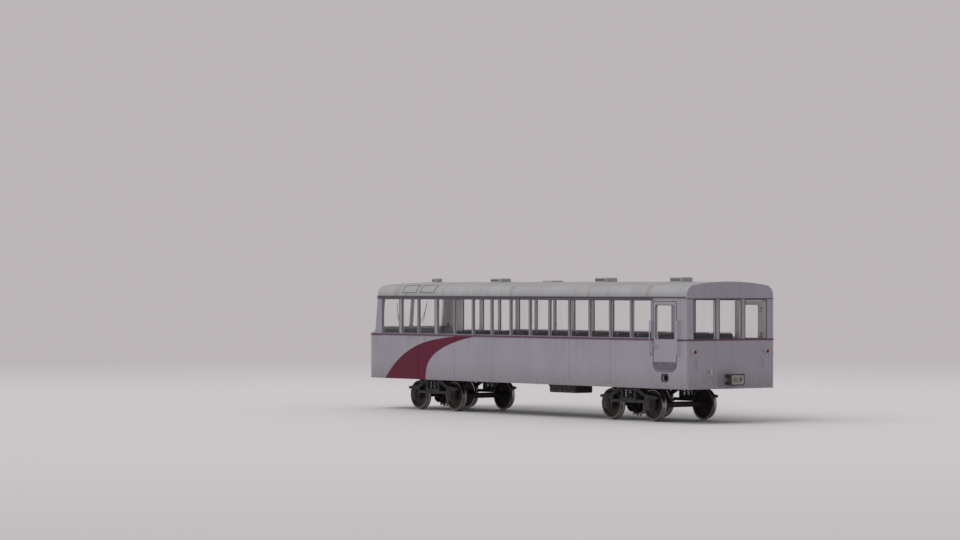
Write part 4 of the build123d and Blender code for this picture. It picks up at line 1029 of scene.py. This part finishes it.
def dress_underframe():
    """Brake pipes with clips, bolted bearer ends, tank fittings and battery box doors."""
    pipes = Shape("brake_pipes", "spring", slot="frame_black")
    clips = Shape("pipe_clips", "black", slot="frame_black")
    start_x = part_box("frame_sills")[0].x + 0.02
    for y, radius in ((0.34, 0.017), (-0.34, 0.012)):
        z = frame_low_z - radius - 0.003
        wide = radius + 0.012
        pipes.tube([(x, y, z) for x in spaced(start_x, end_wall_x - 0.02, 1.0)], radius, 10)
        for x in spaced(start_x + 0.06, end_wall_x - 0.08, 0.9):
            clips.box((x - 0.015, y - wide, z - radius - 0.003), (x + 0.015, y + wide, frame_low_z + sunk))

    bolts = Shape("frame_bolts", "iron", slot="frame_black")
    low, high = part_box("cross_bearers")
    rows = [(x, spaced(low.y + 0.06, high.y - 0.06, 0.16)) for x in (low.x + 0.03, low.x + 0.09)]
    rows += [(x, spaced(low.y + 0.06, high.y - 0.06, 0.16)) for x in (high.x - 0.09, high.x - 0.03)]
    rows += [(x + a, spaced(-1.08, 1.08, 0.18)) for x in bogie_x.values() for a in (-0.14, 0.14)]
    for x, ys in rows:
        bolts.studs([(x, y, frame_low_z) for y in ys], -Z, bolt, 0.009)

    low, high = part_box("air_tank")
    tank = Shape("air_tank_fittings", "black", slot="frame_black")
    middle = (low + high) / 2
    middle.z = low.z + 0.15
    boss = ((0.024, -0.02), (0.024, 0.012), (0.014, 0.02), (0.014, 0.035), (0.0, 0.036))
    for end, x in ((-1, low.x), (1, high.x)):
        tank.lathe(boss, (x, middle.y, middle.z), (end, 0, 0), 20)
    for shift in (-0.36, 0.0, 0.36):
        weld = ((0.1485, -0.012), (0.152, -0.006), (0.152, 0.006), (0.1485, 0.012))
        tank.lathe(weld, middle + X * shift, X, 40)
    drain = ((0.015, 0.0), (0.015, 0.03), (0.009, 0.036), (0.009, 0.05), (0.0, 0.051))
    tank.lathe(drain, middle - Z * 0.146, -Z, 16)

    low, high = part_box("battery_box")
    doors = Shape("battery_box_doors", "black", slot="frame_black")
    latches = Shape("battery_box_latches", "steel", slot="worn_steel")
    middle_x = (low.x + high.x) / 2
    for sign, y in ((-1, low.y), (1, high.y)):
        face = sign * y
        for left, right in ((low.x + 0.03, middle_x - 0.012), (middle_x + 0.012, high.x - 0.03)):
            doors.side_slab(sign, (left, right), (low.z + 0.035, frame_low_z - 0.03), 0.008, face)
            for x in (left + 0.08, right - 0.08):
                zs = (frame_low_z - 0.085, frame_low_z - 0.045)
                latches.side_slab(sign, (x - 0.014, x + 0.014), zs, 0.02, face, 0.008)
                pin_y, pin_z = sign * (face + 0.014), low.z + 0.045
                latches.tube([(x - 0.03, pin_y, pin_z), (x + 0.03, pin_y, pin_z)], 0.008)


# Bogies


def coil(x, y, low, high):
    """Path of a coil spring with flat ends between two heights."""
    turns, steps = 5.5, 16
    path = []
    for k in range(int(turns * steps) + 1):
        share = min(max((k / steps - 0.5) / (turns - 1.0), 0.0), 1.0)
        angle = 2 * pi * k / steps
        path.append((x + 0.047 * cos(angle), y + 0.047 * sin(angle), low + (high - low) * share))
    return path


def dress_bogies():
    """Coil springs, bolts, axle box covers, brake linings and cog details on each bogie."""
    wire = 0.0125
    for place, middle in bogie_x.items():
        body = f"bogie_{place}"
        low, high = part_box(f"springs_{place}")
        side_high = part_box(f"side_frames_{place}")[1]
        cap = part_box(f"axle_boxes_{place}")[1].y
        chord_z = low.z - 0.075
        cog_x = middle - wheelbase / 2
        coils = Shape(f"coil_springs_{place}", "spring", body, "frame_black", f"springs_{place}")
        bolts = Shape(f"bogie_bolts_{place}", "iron", body, "running_iron")
        linings = Shape(f"brake_linings_{place}", "rubber", body)
        hubs = Shape(f"cog_bolts_{place}", "steel", f"wheelset_{place}_1", "worn_steel")
        ends = (-1, 1)
        for sign in sides.values():
            spring_y = sign * (high.y - 0.06)
            for x in (middle - 0.075, middle + 0.075):
                coils.tube(coil(x, spring_y, low.z + wire, high.z - wire), wire)
                for z in (low.z, high.z - 0.008):
                    coils.lathe(((0.06, 0.0), (0.06, 0.008), (0.025, 0.008)), (x, spring_y, z), Z)

            spots = [(x, chord_z) for x in spaced(middle - 0.48, middle + 0.48, 0.12)]
            for way in ends:
                spots += [(middle + way * a, side_high.z - drop) for a, drop in ((0.24, 0.07), (0.4, 0.11))]
                spots += [(middle + way * a, wheel_z + up) for a in (0.63, 0.87) for up in (-0.08, 0.02)]
            bolts.side_studs(sign, spots, bolt, 0.01, side_high.y)
            for way in ends:
                axle = Vector((middle + way * wheelbase / 2, sign * cap, wheel_z))
                bolts.studs(circle(axle, X, Z, 0.055, 4, pi / 4), (0, sign, 0), 0.0085, 0.008)
                corners = [(axle.x + a * 0.072, wheel_z + b * 0.097) for a in ends for b in ends]
                bolts.side_studs(sign, corners, 0.01, bolt, cap - 0.024)
                cover = ((0.03, -sunk), (0.03, 0.006), (0.022, 0.01), (0.0, 0.011))
                bolts.lathe(cover, axle, (0, sign, 0), 20)

            rings = []
            ys = sorted((sign * 0.108, sign * 0.192))
            corners = ((0.1915, ys[0]), (0.1955, ys[0]), (0.1955, ys[1]), (0.1915, ys[1]))
            for k in range(33):
                turn = radians(205 + 310 * k / 32)
                out = X * cos(turn) + Z * sin(turn)
                rings.append([Vector((cog_x, y, wheel_z)) + out * r for r, y in corners])
            linings.rings(rings)
            hub = Vector((cog_x, sign * 0.205, wheel_z))
            hubs.studs(circle(hub, X, Z, 0.085, 6), (0, sign, 0), 0.009, 0.009)


# Seats


def block_cushion(size, crown, steps):
    """Closed rounded block that is crowned on top, as a grid of (width, depth, height) points."""
    data = bpy.data.meshes.new("cushion")
    mesh = bmesh.new()
    bmesh.ops.create_cube(mesh, size=1.0)
    bmesh.ops.subdivide_edges(mesh, edges=mesh.edges, cuts=steps, use_grid_fill=True)
    for vert in mesh.verts:
        a, b, c = (2 * part for part in vert.co)
        off = 1 - 0.035 * (a * a * b * b + b * b * c * c + a * a * c * c)
        lift = crown * (1 - a**4) * (1 - b**4) if c > 0 else 0.0
        vert.co = Vector((a * size[0] / 2 * off, b * size[1] / 2 * off, c * size[2] / 2 * off + lift))
    mesh.to_mesh(data)
    mesh.free()
    return data


def puff(data, voxel, pressure, cap):
    """Swell a closed mesh with a short cloth simulation, no point moving further than the cap."""
    piece = new_object("puffed", data)
    remesh = piece.modifiers.new("remesh", "REMESH")
    remesh.mode = "VOXEL"
    remesh.voxel_size = voxel
    graph = bpy.context.evaluated_depsgraph_get()
    start = bpy.data.meshes.new_from_object(piece.evaluated_get(graph))
    piece.modifiers.clear()
    piece.data = start
    rest = [vert.co.copy() for vert in start.vertices]
    cloth = piece.modifiers.new("cloth", "CLOTH")
    cloth.settings.use_pressure = True
    cloth.settings.uniform_pressure_force = pressure
    cloth.settings.quality = 4
    cloth.settings.effector_weights.gravity = 0
    for number in range(1, 19):
        bpy.context.scene.frame_set(number)
    graph = bpy.context.evaluated_depsgraph_get()
    moved = [vert.co.copy() for vert in piece.evaluated_get(graph).data.vertices]
    piece.modifiers.clear()
    for vert, old, new in zip(start.vertices, rest, moved):
        step = new - old
        vert.co = old + step * min(1.0, cap / max(step.length, 1e-6))
    bpy.context.scene.frame_set(1)
    bpy.data.objects.remove(piece)
    return start


def cushion_mesh(name, size, crown=0.006):
    """Swollen cushion with piping round it and a sewn channel down its middle, in two materials."""
    slack = 0.016
    voxel, pressure = 0.019, 3.0
    channel_half, channel_depth = 0.03, 0.012
    piping_radius = 0.0045
    block = block_cushion((size[0] - slack, size[1] - slack, size[2] - slack * 0.6), crown, 12)
    data = puff(block, voxel, pressure, slack / 2)
    tree = BVHTree.FromPolygons([v.co for v in data.vertices], [p.vertices for p in data.polygons])
    for vert in data.vertices:
        away = abs(vert.co.x)
        if away < channel_half and vert.co.z > 0:
            vert.co.z -= channel_depth * (1 - away / channel_half) ** 2
    mesh = bmesh.new()
    mesh.from_mesh(data)
    edge = divided(rounded((-size[0] / 2, -size[1] / 2), (size[0] / 2, size[1] / 2), 0.03), 0.04)
    for level in (0.36, -0.36):
        path = []
        for a, b in edge:
            place, normal, _, _ = tree.find_nearest(Vector((a, b, size[2] * level)))
            path.append(place + normal * piping_radius * 0.3)
        piping = Shape()
        piping.tube(path, piping_radius, 6, closed=True)
        verts = [mesh.verts.new(p) for p in piping.points]
        for face in piping.faces:
            mesh.faces.new([verts[i] for i in face]).material_index = 1
    mesh.to_mesh(data)
    mesh.free()
    data.name = name
    data.polygons.foreach_set("use_smooth", [True] * len(data.polygons))
    data.materials.append(looks["vinyl"])
    data.materials.append(looks["piping"])
    return data


def place_pad(name, data, matrix):
    """Padded piece in its place on a seat."""
    pad = new_object(name, data)
    pad.matrix_world = matrix
    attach(pad, "car")
    return pad


def dress_seats():
    """Padded double cushions and backs in place of the plain ones, with end plates and grab rails."""
    seat_width, seat_depth, thickness = 0.89, 0.43, 0.105
    back_thickness, back_lean = 0.08, 0.06
    gap = 0.002
    pan_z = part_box("seat_cushions")[0].z
    seat_y = inner_half - 0.02 - seat_width / 2
    cushion = cushion_mesh("seat_cushion", (seat_width - 0.012, seat_depth - 0.012, thickness - 0.01))
    heights = {"low": floor_z + 0.79 - pan_z, "tall": floor_z + 0.89 - pan_z}
    backs = {}
    for kind, height in heights.items():
        size = (seat_width - 0.012, height - 0.012, back_thickness - 0.014)
        backs[kind] = cushion_mesh(f"{kind}_back", size)
    # End plate as (ahead of the post, above the seat's pan), and half a grab rail as (behind, below the top)
    plate = ((0.54, -0.022), (0.54, 0.02), (0.14, 0.05), (0.075, 0.12), (0.055, 0.02), (0.06, -0.022))
    rail = ((-0.026, 0.05), (0.008, 0.03), (0.016, 0.008))
    rails = Shape("seat_grab_rails", "bright", slot="bright_metal")
    shells = Shape("seat_end_plates", "bright", slot="bright_metal")
    for n in range(window_count):
        kind = "low" if n < 2 else "tall"
        height = heights[kind]
        x = post_x[n + 1]
        seat_x = x - back_thickness - back_lean - seat_depth / 2 - gap
        back_x = x - back_thickness / 2 - back_lean / 2 - gap
        lean = Matrix.Rotation(atan2(back_lean, height), 4, "Y")
        upright = lean @ Matrix.Rotation(-pi / 2, 4, "Z") @ Matrix.Rotation(pi / 2, 4, "X")
        for side, sign in sides.items():
            y = sign * seat_y
            place = Matrix.Translation((seat_x, y, pan_z + thickness / 2)) @ Matrix.Rotation(pi / 2, 4, "Z")
            place_pad(f"seat_cushion_{side}_{n + 1}", cushion, place)
            place = Matrix.Translation((back_x, y, pan_z + height / 2)) @ upright
            place_pad(f"seat_back_{side}_{n + 1}", backs[kind], place)
            path = [(x + a, sign * (seat_y - 0.3), pan_z + height - drop) for a, drop in rail]
            path += [(x + a, sign * (seat_y + 0.3), pan_z + height - drop) for a, drop in reversed(rail)]
            rails.tube(path, 0.009)
            for edge_y in (seat_y - seat_width / 2 + 0.004, seat_y + seat_width / 2 - 0.004):
                ys = sorted((sign * (edge_y - 0.003), sign * (edge_y + 0.003)))
                shells.rings([[Vector((x - a, b, pan_z + up)) for a, up in plate] for b in ys])
    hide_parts("seat_cushions")
    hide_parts("seat_backs")


def dress_cab():
    """Dials and levers on the desk, the grip on the hand brake, and the ceiling lamps."""
    low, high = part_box("control_desk")
    dials = Shape("desk_dials", "enamel")
    fittings = Shape("desk_fittings", "bright")
    slope = atan2(0.06, high.x - low.x)
    normal = Vector((sin(slope), 0, cos(slope)))
    for y in (-0.2, 0.0, 0.2):
        place = Vector((low.x + 0.1, y, high.z - 0.1 * tan(slope)))
        bezel = ((0.052, -0.002), (0.052, 0.012), (0.044, 0.014), (0.043, 0.006), (0.0, 0.006))
        fittings.lathe(bezel, place, normal, 28)
        dials.lathe(((0.042, 0.0), (0.042, 0.008), (0.0, 0.0085)), place, normal, 28)
    for y, tall in ((-0.42, 0.16), (0.42, 0.12)):
        foot = Vector((low.x + 0.15, y, high.z - 0.15 * tan(slope)))
        fittings.lathe(((0.045, -0.002), (0.045, 0.02), (0.02, 0.035)), foot, normal, 24)
        lever = (foot, foot + Vector((0.02, 0, tall)), foot + Vector((0.06, 0, tall + 0.02)))
        fittings.tube(lever, 0.008)
        knob = ((0.01, 0.0), (0.018, 0.012), (0.018, 0.028), (0.0, 0.04))
        fittings.lathe(knob, foot + Vector((0.055, 0, tall + 0.02)), (1, 0, 0.2), 16)

    low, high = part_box("hand_brake")
    grip = Shape("hand_brake_grip", "wood")
    crank = ((low.x + high.x) / 2 + 0.2, (low.y + high.y) / 2, high.z)
    handle = ((0.012, -0.02), (0.012, 0.0), (0.02, 0.01), (0.022, 0.06), (0.014, 0.09), (0.0, 0.095))
    grip.lathe(handle, crank, Z, 20)

    lamps = Shape("ceiling_lamps", "enamel")
    rims = Shape("ceiling_lamp_rims", "bright")
    for x in post_x[1:window_count:3]:
        place = (x, 0, crown_z - 0.05)
        lamps.lathe(((0.085, 0.0), (0.08, 0.025), (0.05, 0.045), (0.0, 0.052)), place, -Z, 28)
        rims.lathe(((0.1, 0.002), (0.1, 0.016), (0.086, 0.02), (0.086, 0.0)), place, -Z, 28)


set_camera()
set_light()
set_floor()
paint_nodes()
for dress in (
    dress_sides, dress_nose, dress_lamps, dress_roof, dress_doors, dress_rear,
    dress_drawgear, dress_underframe, dress_bogies, dress_seats, dress_cab,
):
    dress()
    while shapes:
        shapes.pop(0).piece()
